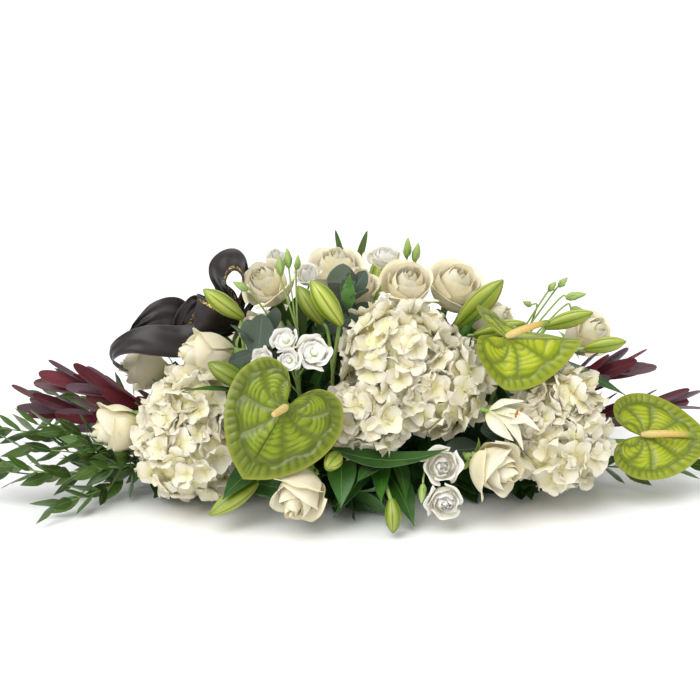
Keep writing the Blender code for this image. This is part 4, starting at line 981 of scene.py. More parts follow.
# the knob in the middle: shares of the bloom's height, and its width at foot and top as shares of the bloom's
openHeart = {"heights": (0.3, 0.5, 0.62, 0.7), "foot": 0.14, "top": 0.08, "tone": 0.9}
shutHeart = {"heights": (0.2, 0.5, 0.68, 0.82), "foot": 0.36, "top": 0.08, "tone": 0.2}
collarHeights = (0.2, 0.34, 0.46, 0.52)
bractLook = {"grid": (2, 4), "shoulder": 0.25, "cup": 0.2, "arch": 0.06, "thick": 0.4}


def lisianthusBud(pile, base, tip, radius):
    base, tip = Vector(base), Vector(tip)
    way = (tip - base).normalized()
    path = [base.lerp(tip, s) for s in (0, 0.08, 0.2, 0.35, 0.5, 0.65, 0.8, 0.92, 1.0)]
    shape = (0.35, 0.62, 0.9, 1.0, 0.94, 0.78, 0.55, 0.3, 0.08)
    addTo(pile, tube(path, lambda share, around: radius * shape[round(share * 8)]
                     * (1 + 0.13 * cos(3 * around + share * 4.5)), 12), None, 0.95)
    matrix = frameAt(base, way)
    for s in range(5):
        out = outAt(s * 2 * pi / 5)
        end = out * (radius + 1.5) + up * (tip - base).length * 0.62
        bract = blade(out * 1.2, end, out, 1.8, bractLook, s, free=False)
        addTo(pile, bract, matrix, 0.45)


print("lisianthus")
for index, (node, spray) in enumerate(lisianthus.items()):
    heads, greens = bmesh.new(), bmesh.new()
    fork = Vector(spray["fork"])
    out = leavesFoamAt(spray["root"], fork)
    path = [Vector(spray["root"]), out, out.lerp(fork, 0.5), fork]
    addTo(greens, tube(path, stemRadii["lisianthus"], 7), None, 0.5)
    ends = []
    for k, (centre, aim, across, tall) in enumerate(spray["blooms"]):
        way = facing(*aim)
        keepRound(Vector(centre) + way * 2, across * 0.52)
        isOpen = spray.get("open", False)
        look, heart = (openLook, openHeart) if isOpen else (lisianthusLook, shutHeart)
        base = cupOfPetals(heads, centre, way, across, tall, look, index * 2.3 + k)
        ends.append((base, way))
        matrix = frameAt(base, way)
        for s in range(5):
            side = outAt(s * 2 * pi / 5 + k)
            bract = blade(side * 2, side * across * 0.3 + up * tall * 0.35, side, 2.4, bractLook, s, free=False)
            addTo(greens, bract, matrix, 0.5)
        if isOpen:
            middle = Vector(centre) - way * tall * 0.12
            cupOfPetals(heads, middle, way, across * 0.5, tall * 0.76, throatLook, k + 0.4)
            collar = upright(*(tall * z for z in collarHeights))
            addTo(greens, tube(collar, lambda share, around: across * (0.2 - 0.03 * share), 12), matrix, 0.95)
        knob = upright(*(tall * z for z in heart["heights"]))
        narrows = heart["top"] - heart["foot"]
        knobMesh = tube(knob, lambda share, around: across * (heart["foot"] + narrows * share), 12)
        addTo(heads, knobMesh, matrix, heart["tone"])
    for base, tip, radius in spray["buds"]:
        lisianthusBud(greens, base, tip, radius)
        keepAlong(Vector(base), Vector(tip), radius + 1)
        ends.append((Vector(base), (Vector(tip) - Vector(base)).normalized()))
    for k, (base, way) in enumerate(ends):
        start = fork.lerp(out, 0.14 * k + 0.02)
        path = smoothPath([start, base - way * 8, base + way * 2], 5)
        addTo(greens, tube(path, stemRadii["lisianthusFork"], 6), None, 0.6)
    if spray["blooms"]:
        finishPiece(node + "_petals", heads, petals["lisianthusPetal"], [node], "white_petal")
    else:
        heads.free()
    finishPiece(node + "_stem", greens, greenStem, [node], "lily_green")


# Lilies: closed buds with three ribbed tepals, long leaves with parallel veins
lilyBudShape = ((0, 0.34), (0.04, 0.46), (0.12, 0.6), (0.24, 0.8), (0.38, 0.96), (0.5, 1.0), (0.62, 0.97),
                (0.74, 0.84), (0.84, 0.64), (0.92, 0.4), (0.97, 0.22), (1.0, 0.08))
lilyLeafLook = {"grid": (6, 12), "shoulder": 0.45, "cup": 0.18, "arch": 0.1, "twist": 0.5, "wave": 0.08,
                "thick": 0.6, "point": 1.1, "swell": 0.7}

# how far a bud is still green: the others have begun to colour
budDark = {
    ("lily_bud_left_top", 0): 0.15, ("lily_buds_middle", 0): 0.0, ("lily_buds_middle", 1): 0.5,
    ("lily_bud_left", 0): 0.6, ("lily_bud_front", 0): 0.4, ("lily_bud_front_left", 0): 0.3,
}


def lilyBud(pile, base, tip, radius, dark):
    base, tip = Vector(base), Vector(tip)
    bow = frameAt(base, tip - base).to_3x3() @ Vector((1, 0, 0)) * (tip - base).length * 0.03
    path = [base.lerp(tip, s) + bow * 4 * s * (1 - s) for s, wide in lilyBudShape]

    def skin(share, around):
        wide = lilyBudShape[round(share * (len(lilyBudShape) - 1))][1]
        third = ((around / (2 * pi) + 1) * 3) % 1.0
        seam = exp(-(((third - 0.5) / 0.07) ** 2))
        middle = exp(-((min(third, 1 - third) / 0.06) ** 2))
        return radius * wide * (1 + 0.05 * cos(2 * pi * third) - 0.09 * seam - 0.06 * middle)

    addTo(pile, tube(path, skin, 36), None, dark)


print("lilies")
for index, (node, lily) in enumerate(lilies.items()):
    buds, greens, stems = bmesh.new(), bmesh.new(), bmesh.new()
    root, by = Vector(lily["root"]), Vector(lily["by"])
    firstBase, firstTip = (Vector(end) for end in lily["buds"][0][:2])
    end = firstBase + (firstTip - firstBase).normalized() * 3
    path = smoothPath([leavesFoamAt(root, by), by, end], 6)
    addTo(stems, tube([root] + path, stemRadii["lily"], 8), None, 0.5)
    for k, (base, tip, radius) in enumerate(lily["buds"]):
        base, tip = Vector(base), Vector(tip)
        if k > 0:
            way = (tip - base).normalized()
            side = smoothPath([by, base - way * 12, base + way * 3], 4)
            addTo(stems, tube(side, stemRadii["lilyFork"], 8), None, 0.5)
        lilyBud(buds, base, tip, radius, budDark.get((node, k), 0.2))
        keepAlong(base.lerp(tip, 0.2), base.lerp(tip, 0.8), radius + 1)
    for k, (tip, aim, width, *rest) in enumerate(lily["leaves"]):
        base = Vector(rest[0]) if rest else alongPath([root] + path, 0.7 - 0.1 * k)[0]
        shape = dict(lilyLeafLook, arch=rest[1]) if rest[1:] else lilyLeafLook
        made = blade(base, tip, facing(*aim), width, shape, index + k)
        if made:
            addTo(greens, made, None, random.Random(f"{node} {k}").random())
            keepAlong(base.lerp(Vector(tip), 0.2), base.lerp(Vector(tip), 0.9), width * 0.45)
    finishPiece(node + "_buds", buds, budSkin, [node], "lily_green")
    finishPiece(node + "_leaves", greens, leaves["lilyLeaf"], [node], "lily_green")
    finishPiece(node + "_stem", stems, greenStem, [node], "lily_green")

tepalLook = {"grid": (8, 14), "shoulder": 0.45, "cup": 0.3, "wave": 0.1, "thick": 0.6, "point": 0.85, "swell": 0.6,
             "foot": 0.3}
tepals, greens, dusty = bmesh.new(), bmesh.new(), bmesh.new()
base, mouth, root = (Vector(openLily[key]) for key in ("base", "mouth", "root"))
way = (mouth - base).normalized()
matrix = frameAt(base, way)
tepalTips = [  # tip, way the inside looks, width, arch, hang
    ((213, -170, 122), (40, 40), 14, 0.12, 0.1), ((199, -180, 130), (-10, 30), 13, -0.1, -0.1),
    ((196, -178, 106), (30, 50), 16, 0.18, 0.2), ((178, -176, 110), (-30, 20), 16, 0.14, 0.18),
    ((183, -154, 158), (90, -20), 13, -0.1, -0.42), ((206, -150, 138), (60, -10), 13, -0.1, 0.06),
]
for k, (tip, aim, width, arch, hang) in enumerate(tepalTips):
    shape = dict(tepalLook, arch=arch, hang=hang)
    addTo(tepals, blade(base + way * 2, tip, facing(*aim), width, shape, k, free=False), None, 0.25 + 0.1 * k)
for k in range(5):
    out = outAt(k * 2 * pi / 5)
    inner = [Vector((0, 0, 4)), out * 4 + up * 24, out * 9 + up * (38 + 3 * (k % 2))]
    addTo(greens, tube(smoothPath(inner, 3), 0.7, 5), matrix, 1.0)
    addTo(dusty, tube([inner[-1] + out.cross(up) * d for d in (-4.5, -2.2, 0, 2.2, 4.5)],
                      lambda share, turned: 1.7 * sin(pi * (0.2 + 0.6 * share)), 6), matrix, 0.5)
addTo(greens, tube([Vector((0, 0, 4)), Vector((0, 0, 30)), Vector((0, 1, 48))], 1.3, 6), matrix, 1.0)
path = smoothPath([leavesFoamAt(root, base), base - way * 5, base + way * 4], 6)
addTo(greens, tube(path, stemRadii["openLily"], 8), None, 0.5)
keepAlong(base, base + way * 14, 11)
keepAlong(base + way * 14, mouth, 19)
finishPiece("lily_open_tepals", tepals, petals["lilyTepal"], ["lily_open"], "cream_petal")
finishPiece("lily_open_stem", greens, greenStem, ["lily_open"], "lily_green")
finishPiece("lily_open_anthers", dusty, pollen, ["lily_open"], "spadix_yellow")


# Anthuriums: heart-shaped spathe with sunken veins and quilted fields between, beaded spadix, stem
spatheLook = {
    "grid": (280, 44), "thick": 1.2, "veins": (0.07, 0.17, 0.28, 0.39), "depth": 1.5, "puff": 2.3,
    "ring": 0.78, "quilts": 44, "ringPuff": 0.5, "wave": 2.4, "ribs": 11,
}
spadixLook = {"radius": 4.5, "steps": 34, "bow": 0.05, "sides": 24}
spatheOutline = [
    (0.03, 0.04), (0.10, 0.20), (0.28, 0.36), (0.50, 0.41), (0.72, 0.38), (0.88, 0.26), (0.98, 0.10),
    (1.0, -0.06), (0.97, -0.22), (0.88, -0.40), (0.74, -0.57), (0.55, -0.73), (0.36, -0.85), (0.18, -0.93),
    (0.0, -1.0),
]


def outlineAt(share):
    # share 0 is the notch on the right, 0.5 the tip and 1 the notch on the left
    half = min(share, 1 - share) * 2 * (len(spatheOutline) - 1)
    i = min(int(half), len(spatheOutline) - 2)
    points = [Vector(spatheOutline[max(0, min(j, len(spatheOutline) - 1))]) for j in range(i - 1, i + 3)]
    a, b, c, d = points
    t = half - i
    place = 0.5 * (2 * b + (c - a) * t + (2 * a - 5 * b + 4 * c - d) * t * t + (3 * b - a - 3 * c + d) * t**3)
    return Vector((place.x if share <= 0.5 else -place.x, place.y))


def bowed(line, v):
    # the veins leave the foot close together and bow outwards
    return line + (0.5 - line) * 0.4 * (1 - v / spatheLook["ring"]) ** 1.4


def sunken(share, v):
    # how near a vein this place is: 1 on it
    half, ring = min(share, 1 - share), spatheLook["ring"]
    inside = min(1.0, max(0.0, (ring + 0.04 - v) * 14))
    near = exp(-(((half - 0.5) / 0.008) ** 2)) * min(1.0, (1.02 - v) * 8)
    for line in spatheLook["veins"]:
        at = bowed(line, v) if v < ring else line
        near = max(near, exp(-(((half - at) / (0.008 + 0.012 * (1 - v))) ** 2)) * inside)
    bend = ring + 0.04 * cos(half * 60)  # the vein that follows the rim dips between the others
    near = max(near, exp(-(((v - bend) / 0.022) ** 2)) * min(1.0, half * 16) * 0.8)
    return near * min(1.0, v * 5)


def quilted(share, v, seed):
    # bulges from 0 to 1: across the fields inside the ring, and like scallops outside it
    half, ring = min(share, 1 - share), spatheLook["ring"]
    if v > ring:
        odd = noise.noise(Vector((share * 14, seed, 2.2)))
        scallop = abs(sin(pi * half * spatheLook["quilts"] + 2.4 * odd)) * (0.6 + 0.8 * abs(odd))
        swells = sin(pi * min(1.0, (v - ring) / (0.985 - ring))) ** 0.7
        return spatheLook["ringPuff"] * scallop * swells * min(1.0, half * 14)
    lines = [0.0] + [bowed(line, v) for line in spatheLook["veins"]] + [0.5]
    for low, high in zip(lines, lines[1:]):
        if low <= half <= high:
            q = (half - low) / (high - low)
            odd = noise.noise(Vector((share * 9, v * 3.1, seed)))
            finer = noise.noise(Vector((share * 26, v * 7, seed + 3)))
            ribs = abs(sin(pi * (v * spatheLook["ribs"] + 1.5 * odd + 0.8 * (q - 0.5) ** 2 + low * 5 + seed)))
            fades = min(1.0, v * 3) * min(1.0, (ring - v) * 9)
            return (0.3 + 0.6 * ribs + 0.25 * finer) * sin(pi * q) ** 0.6 * fades
    return 0.0


def spathe(flower, seed):
    width, length, bend = flower["width"], flower["length"], radians(flower["fold"])
    near = {}

    def place(x, v):
        share, v = (x + 1) / 2, 0.02 + 0.98 * v
        rim = outlineAt(share)
        across, along = rim.x * v, rim.y * v
        reach = sqrt(across * across + along * along)
        half = min(share, 1 - share)
        vein = sunken(share, v)
        bulge = quilted(share, v, seed)
        lift = bulge * spatheLook["puff"] * (0.35 + 0.65 * reach)
        lift -= spatheLook["depth"] * vein * min(1.0, reach * 1.6)
        dish = 4.2 * reach * reach - 6 * max(0.0, -along - 0.6) + flower["lobes"] * max(0.0, along) ** 1.3 * 2.4
        ripple = spatheLook["wave"] * sin(share * 23 + seed) * max(0.0, v - 0.6) * 2 * min(1.0, 4 * half)
        x, y = across * width / 2, along * length
        # a wing: the far half of the heart stands up near the foot instead of folding down
        stands = flower.get("wing", 0.0) * min(1.0, max(0.0, (along + 0.3) / 0.45)) if x > 0 else 0.0
        spot = Vector((x * cos(bend), y, -abs(x) * sin(bend) * (1 - stands) + dish + lift + ripple))
        near[tuple(round(c, 2) for c in spot)] = (vein * 0.5, bulge)
        return spot

    mesh = shell(spatheLook["grid"][0], spatheLook["grid"][1], place, spatheLook["thick"])
    values = [near.get(tuple(round(c, 2) for c in vert.co), (0.0, 0.5)) for vert in mesh.vertices]
    # vein and swell also steer the spathe's painted shade and painted light
    for k, name in enumerate(("vein", "swell")):
        mesh.attributes.new(name, "FLOAT", "POINT").data.foreach_set("value", [value[k] for value in values])
    return mesh


print("anthuriums")
for index, (node, flower) in enumerate(anthuriums.items()):
    foot, face = Vector(flower["foot"]), facing(*flower["face"])
    flatUp = (up - face * up.dot(face)).normalized()
    turn = radians(flower["turn"])
    towardsTip = flatUp * cos(turn) + flatUp.cross(face) * sin(turn)
    matrix = frameAt(foot, face, (-towardsTip).cross(face))
    bladePile, stems, rod = bmesh.new(), bmesh.new(), bmesh.new()
    # the tone given to the spathe is its painted light
    addTo(bladePile, spathe(flower, index * 1.3), matrix, flower["paintedLit"])
    for a in (0.15, 0.3, 0.5, 0.7, 0.85):
        rim = outlineAt(a)
        for share in (0.35, 0.7, 0.95):
            spot = Vector((rim.x * share * flower["width"] / 2, rim.y * share * flower["length"], 0))
            keepRound(matrix @ spot, 7)
    root = Vector(flower["root"])
    meets = foot + towardsTip * 1.5 - face * 3.6
    path = smoothPath([leavesFoamAt(root, foot - face * 30), foot - face * 16, meets], 8)
    addTo(stems, tube([root] + path, stemRadii["anthurium"], 10), None, 0.55)
    tip = Vector(flower["spadix"])
    along = (tip - foot).normalized()
    start = foot + face * (1.0 + spadixLook["radius"] * 0.5) - along * 1
    steps = spadixLook["steps"]
    bow = face * (tip - start).length * spadixLook["bow"]
    spine = [start.lerp(tip, s / steps) + bow * 4 * (s / steps) * (1 - s / steps) for s in range(steps + 1)]

    def beads(share, around):
        wide = min(1.0, 0.62 + share * 3) * (1 - 0.36 * share**2) * min(1.0, sqrt(max(0.0, (1.001 - share) * 14)))
        row = share * steps
        return spadixLook["radius"] * wide * (1 + 0.05 * sin(row * pi) * sin(around * 9 + row * 1.6))

    addTo(rod, tube(spine, beads, spadixLook["sides"]), None, flower["ripe"])
    keepAlong(start, tip, 6)
    finishPiece(node + "_spathe", bladePile, lacquer, [node], "spathe_green", 60)
    finishPiece(node + "_stem", stems, greenStem, [node], "spathe_green")
    finishPiece(node + "_spadix_beads", rod, beaded, [node + "_spadix"], "spadix_yellow", 80)


# Hydrangea heads: florets of four broad overlapping petals over a small lumpy core
floretLook = {"kinds": 12, "reach": 18.5, "width": 24.5, "grid": (4, 4), "thick": 0.35}
headLook = {
    "crowd": 1.8, "lowest": -0.62, "clear": 3.0, "least": 0.45, "depth": 6.5, "stagger": 7, "tilt": 0.75,
    "size": (0.8, 1.08), "coreDepth": 14, "coreLeast": 6,
}


def floretPetal(turn, lift, seed, cup):
    reach, width = floretLook["reach"], floretLook["width"]

    def place(x, v):
        wide = sin(pi * (0.1 + 0.66 * v)) ** 0.7
        out = 1.0 + reach * v * (1 - 0.42 * abs(x) ** 2.3 * v * v)
        aside = x * width / 2 * wide
        rise = lift + cup * v**1.6 + 3.0 * abs(x) ** 2 * v * (1 if cup > 0 else -0.6) - 2.0 * v**4
        rise += 4.4 * noise.noise(Vector((x * 1.2, v * 1.4, seed * 4.1))) * v + 1.4 * sin(x * 3.6 + seed) * v**2
        return Vector((out * cos(turn) - aside * sin(turn), out * sin(turn) + aside * cos(turn), rise))

    # x runs clockwise seen from above, so it is turned to keep the face upwards
    return shell(floretLook["grid"][0], floretLook["grid"][1], lambda x, v: place(-x, v), floretLook["thick"])


def makeFloret(seed):
    pile = bmesh.new()
    for k in range(4):
        turn = k * pi / 2 + 0.14 * sin(seed * 3 + k)
        cup = 5.0 + 5.0 * sin(seed * 2.3) + 4.5 * sin(seed * 5.1 + k * 2)
        addTo(pile, floretPetal(turn, 0.7 * (k % 2), seed * 7 + k, cup), None, 0.5)
    addTo(pile, tube(upright(-0.5, 0.8, 1.8), lambda share, around: 1.2 - 0.5 * share, 5), None, 0.5)
    return toMesh(pile)


def spiralWays(count, axis, lowest):
    matrix = frameAt((0, 0, 0), axis).to_3x3()
    ways = []
    for k in range(count):
        z = 1 - (1 - lowest) * (k + 0.5) / count
        around = k * goldenTurn
        ways.append(matrix @ Vector((sqrt(1 - z * z) * cos(around), sqrt(1 - z * z) * sin(around), z)))
    return ways


def insideFoam(point, margin):
    half = foamSize / 2
    return (abs(point.x) < half.x + margin and abs(point.y) < half.y + margin
            and foamBottom - margin < point.z < foamBottom + foamSize.z + margin)


def headReach(centre, way, balls, margin):
    reach = 0.0
    for middle, radius in balls:
        offset = Vector(middle) - centre
        along = way.dot(offset)
        inside = radius * radius - offset.length_squared + along * along
        if inside > 0:
            reach = max(reach, along + sqrt(inside))
    near = [(c, r + margin) for c, r in taken if (c - centre).length < reach + r + margin]
    distance = 2.0
    while distance < reach:
        point = centre + way * distance
        if point.z < 4 or insideFoam(point, margin) or any((point - c).length < r for c, r in near):
            break
        distance += 2.0
    return min(distance, reach), reach


print("hydrangeas")
florets = [makeFloret(k) for k in range(floretLook["kinds"])]
for index, (node, head) in enumerate(hydrangeas.items()):
    balls = head["balls"]
    centre = sum((Vector(m) * r for m, r in balls), Vector()) / sum(r for m, r in balls)
    face = facing(*head["face"])
    draw = random.Random(node)
    pile, core, stems = bmesh.new(), bmesh.new(), bmesh.new()
    for k, way in enumerate(spiralWays(int(head["florets"] * headLook["crowd"]), face, headLook["lowest"])):
        way = (way + Vector([draw.uniform(-0.06, 0.06) for axis in range(3)])).normalized()
        reach, full = headReach(centre, way, balls, headLook["clear"])
        if reach < full * headLook["least"]:
            continue
        lump = 3.5 * noise.noise(way * 2.6 + centre * 0.03)
        deep = headLook["depth"]
        spot = centre + way * (reach - deep - headLook["stagger"] * (k % 2) + lump - 2 * draw.random())
        lean = headLook["tilt"]
        tilt = (way + Vector([draw.uniform(-lean, lean) for axis in range(3)])).normalized()
        matrix = frameAt(spot, tilt) @ Matrix.Rotation(draw.uniform(0, 2 * pi), 4, "Z")
        size = draw.uniform(*headLook["size"])
        matrix = matrix @ Matrix.Diagonal((size, size, size, 1))
        addTo(pile, florets[draw.randrange(len(florets))], matrix, draw.random(), keep=True)
    # the core sits under the florets and shows in the gaps between them, coloured as petals in painted shade
    bmesh.ops.create_icosphere(core, subdivisions=5, radius=1, matrix=Matrix.Identity(4))
    for vert in core.verts:
        way = vert.co.normalized()
        reach = headReach(centre, way, balls, headLook["clear"])[0]
        fold = 2.4 * abs(noise.noise(way * 7 + centre * 0.1)) + 1.4 * noise.noise(way * 15)
        vert.co = centre + way * (max(headLook["coreLeast"], reach - headLook["coreDepth"]) + fold)
    root = Vector(head["root"])
    addTo(stems, tube([root, leavesFoamAt(root, centre), centre], stemRadii["hydrangea"], 8), None, 0.4)
    finishPiece(node + "_florets", pile, petals["hydrangeaPetal"], [node], "white_petal")
    finishPiece(node + "_core", core, sepalCoreInPaintedShade, [node], "white_petal", 180)
    finishPiece(node + "_stem", stems, greenStem, [node], "white_petal")
    for middle, radius in balls:
        keepRound(middle, radius)
for floret in florets:
    bpy.data.meshes.remove(floret)


# Bow: satin strips of one width, gathered at the knot, with a band of gold flecks near one edge.
# Each point of a loop: place from the knot, way across the ribbon, share of the full width.
bowLook = {
    "width": 38, "thick": 0.35, "across": 22, "steps": 6, "knot": Vector((-137, 8, 190)),
    "root": (-136, 20, 60), "trim": (0.8, 0.9), "gold": ("top", "front", "limb"),
    "loops": {
        "top": [((0, 0, 5), (0.6, -0.7, 0), 0.3), ((-3, -3, 22), (0.8, -0.5, -0.2), 0.6),
                ((-11, -5, 40), (0.8, -0.5, -0.25), 0.8), ((-19, -6, 55), (0.6, -0.7, -0.35), 0.9),
                ((-18, -4, 69), (0.5, -0.75, -0.45), 1.0), ((-9, 0, 78), (0.25, -0.82, -0.5), 1.0),
                ((3, 4, 78), (0.05, -0.87, -0.5), 1.0), ((11, 6, 66), (-0.05, -0.9, -0.4), 0.9),
                ((12, 8, 46), (-0.1, -0.9, -0.2), 0.7), ((4, 8, 20), (-0.1, -0.9, 0), 0.4),
                ((1, 2, 6), (0.2, -0.9, 0), 0.3)],
        "right": [((2, 6, 6), (0.3, -0.9, 0), 0.3), ((10, 22, 36), (0.2, -0.95, -0.1), 0.5),
                  ((15, 19, 56), (0, -0.96, -0.25), 0.7), ((24, 16, 65), (0, -0.95, -0.3), 0.75),
                  ((33, 18, 58), (0, -0.97, -0.2), 0.7), ((28, 24, 36), (0, -1, 0), 0.5),
                  ((6, 10, 6), (0, -1, 0), 0.3)],
        "front": [((2, -4, 0), (0.5, -0.3, 0.8), 0.34), ((-8, -28, 8), (0.52, -0.22, 0.83), 0.95),
                  ((-24, -44, 17), (0.44, -0.15, 0.88), 1.1), ((-38, -42, 25), (0.3, 0, 0.95), 1.0),
                  ((-46, -26, 26), (0.16, 0.2, 0.96), 0.95), ((-42, -6, 20), (0.2, 0.25, 0.93), 0.9),
                  ((-20, 2, 8), (0.4, 0.2, 0.88), 0.6), ((-2, 2, 0), (0.5, 0, 0.8), 0.3)],
        "left": [((-4, -4, -4), (0.1, -0.3, -0.95), 0.34), ((-36, -22, -6), (0.1, -0.35, -0.93), 0.8),
                 ((-63, -28, -13), (0.1, -0.42, -0.9), 1.0), ((-93, -34, -10), (0.1, -0.5, -0.86), 1.0),
                 ((-117, -36, -10), (0.3, -0.75, -0.55), 0.95), ((-136, -34, -17), (0.4, -0.88, -0.2), 0.9),
                 ((-146, -28, -29), (0.3, -0.95, 0), 0.85), ((-143, -22, -42), (0.2, -0.97, 0.1), 0.8),
                 ((-132, -18, -50), (0.1, -0.97, 0.2), 0.75)],
        "arch": [((-4, 8, 2), (0, -0.4, -0.9), 0.34), ((-26, 10, 0), (0.1, -0.45, -0.88), 0.55),
                 ((-60, 4, 10), (0.05, -0.45, -0.88), 0.8), ((-74, 1, 16), (0, -0.45, -0.89), 0.92),
                 ((-91, -3, 13), (-0.15, -0.5, -0.85), 0.9), ((-105, -8, 7), (-0.3, -0.55, -0.78), 0.66),
                 ((-117, -13, 0), (-0.4, -0.6, -0.7), 0.4), ((-122, -16, -5), (-0.4, -0.6, -0.7), 0.3)],
        "limb": [((-2, 2, 6), (0.5, -0.6, -0.5), 0.3), ((-22, -4, 24), (0.6, -0.5, -0.5), 0.5),
                 ((-43, -12, 30), (0.75, -0.5, -0.4), 0.55), ((-52, -12, 22), (0.78, -0.48, -0.4), 0.62),
                 ((-59, -13, 12), (0.8, -0.5, -0.35), 0.66), ((-63, -15, 2), (0.8, -0.5, -0.3), 0.62),
                 ((-60, -18, -9), (0.8, -0.5, -0.2), 0.5)],
    },
}


def ribbonStrip(line, seed):
    path = smoothPath([bowLook["knot"] + Vector(p) for p, side, wide in line], bowLook["steps"])
    sides = smoothPath([side for p, side, wide in line], bowLook["steps"])
    widths = smoothPath([(wide, 0, 0) for p, side, wide in line], bowLook["steps"])
    rows = len(path) - 1

    def place(x, v):
        i = round(v * rows)
        along = (path[min(i + 1, rows)] - path[max(i - 1, 0)]).normalized()
        across = (sides[i] - along * sides[i].dot(along)).normalized()
        face = along.cross(across)
        wide = widths[i].x
        pleat = max(0.0, 1 - wide) * 4.5 * sin(x * 8 + seed)
        belly = 1.8 * (1 - x * x) * sin(v * 9 + seed) + 0.5 * sin(x * 5 + v * 14 + seed)
        return path[i] + across * bowLook["width"] / 2 * wide * x + face * (pleat + belly)

    return shell(bowLook["across"], rows, place, bowLook["thick"]), path


print("ribbon")
for index, (name, line) in enumerate(bowLook["loops"].items()):
    mesh, path = ribbonStrip(line, index * 1.9)
    length = sum((b - a).length for a, b in zip(path, path[1:]))
    pile = bmesh.new()
    addTo(pile, mesh)
    layer = pile.loops.layers.uv["UVMap"]
    low, high = bowLook["trim"]
    for faceOf in pile.faces:
        middle = sum(loop[layer].uv.x for loop in faceOf.loops) / len(faceOf.loops)
        faceOf.material_index = 1 if low < middle < high and name in bowLook["gold"] else 0
    piece = finishPiece("ribbon_loop_" + name, pile, satin, ["ribbon_bow"], "black_satin", 60)
    piece.data.materials.append(gold)
    for a, b in zip(path[4::6], path[10::6]):
        keepAlong(a, b, bowLook["width"] * 0.3)

knotPile, pick = bmesh.new(), bmesh.new()
knotPath = [Vector(p) + bowLook["knot"] for p in ((-7, -2, -8), (-7, -2, -5), (-4, -1, 0), (-3, 1, 6), (-2, 2, 9))]
addTo(knotPile, tube(knotPath, lambda share, around: (6 + 3 * sin(pi * share)) * (1 + 0.1 * sin(7 * around)), 28))
finishPiece("ribbon_knot", knotPile, satin, ["ribbon_bow"], "black_satin", 80)
root = Vector(bowLook["root"])
path = [root, leavesFoamAt(root, bowLook["knot"]), bowLook["knot"]]
addTo(pick, tube(path, stemRadii["pick"], 6), None, 0.2)
finishPiece("ribbon_pick", pick, greenStem, ["ribbon_bow"], "black_satin")


# Leafy branches. long, wide, lean from the stem, first leaf's place and turn are those of the CAD leaves.
leafKinds = {
    "leucadendron": {
        "count": 16, "long": 70, "wide": 18, "lean": 22, "first": 0.06, "turn": 137.5,
        "material": "leucadendronLeaf", "slot": "burgundy_leaf",
        "blade": {"grid": (8, 14), "shoulder": 0.58, "cup": 0.16, "arch": -0.04, "hang": 0.05, "point": 0.42,
                  "swell": 0.6, "twist": 0.9, "thick": 0.7, "margin": 3.0},
    },
    "ruscus": {
        "count": 17, "long": 38, "wide": 14, "lean": 50, "first": 0.2, "turn": 150, "material": "ruscusLeaf",
        "slot": "leaf_green",
        "blade": {"grid": (6, 10), "shoulder": 0.4, "cup": 0.14, "arch": -0.05, "hang": 0.1, "point": 1.05,
                  "swell": 0.7, "twist": 1.6, "thick": 0.5, "wave": 0.06, "margin": 2.5},
    },
    "eucalyptus": {
        "count": 11, "long": 34, "wide": 26, "lean": 62, "first": 0.34, "turn": 90, "material": "eucalyptusLeaf",
        "slot": "grey_leaf",
        "blade": {"grid": (6, 9), "shoulder": 0.5, "cup": 0.1, "arch": -0.04, "hang": 0.05, "point": 0.6,
                  "swell": 0.55, "twist": 0.6, "thick": 0.5, "wave": 0.05, "margin": 2.5},
    },
    "salal": {
        "count": 13, "long": 60, "wide": 36, "lean": 52, "first": 0.28, "turn": 140, "material": "salalLeaf",
        "slot": "leaf_green",
        "blade": {"grid": (8, 11), "shoulder": 0.42, "cup": 0.14, "arch": -0.05, "hang": 0.08, "point": 0.95,
                  "swell": 0.6, "twist": 0.5, "thick": 0.55, "wave": 0.09, "margin": 2.5},
    },
}
leafPiles = {node: bmesh.new() for node in branches}


def leavesAlong(pile, path, kind, count, first, seed, scale):
    for k in range(count):
        share = first + (1 - first) * (k + 0.5) / count
        point, along = alongPath(path, share)
        outward = frameAt(point, along).to_3x3() @ outAt(radians(kind["turn"] * k + 40 * seed))
        lean = radians(kind["lean"] * (1.1 - 0.5 * share))
        heading = along * cos(lean) + outward * sin(lean)
        vary = noise.noise(Vector((k * 1.7, seed * 3.1, 0.5)))
        tip = point + heading * kind["long"] * scale * (1 + 0.3 * vary)
        tip.z = max(tip.z, lowestTip)
        look = outward * cos(lean) - along * sin(lean) + up * 0.35
        made = blade(point, tip, look, kind["wide"] * scale * (1 + 0.2 * vary), kind["blade"], k + seed)
        if made:
            addTo(pile, made, None, random.Random(f"{point.x:.1f} {k}").random())


# Side twigs of the ruscus, by the points they run through
sprigs = {
    "ruscus_left": [
        [(-236, -60, 40), (-290, -84, 76), (-366, -96, 100)], [(-240, -62, 38), (-300, -96, 62), (-384, -104, 74)],
        [(-280, -78, 36), (-344, -84, 78), (-420, -84, 92)], [(-300, -84, 36), (-360, -110, 46), (-430, -104, 62)],
        [(-236, -60, 38), (-270, -104, 50), (-306, -122, 54)], [(-230, -60, 38), (-258, -90, 66), (-310, -112, 84)],
    ],
    "ruscus_back": [
        [(-246, 62, 54), (-300, 84, 84), (-360, 88, 96)], [(-270, 76, 56), (-330, 110, 62), (-392, 122, 60)],
    ],
}

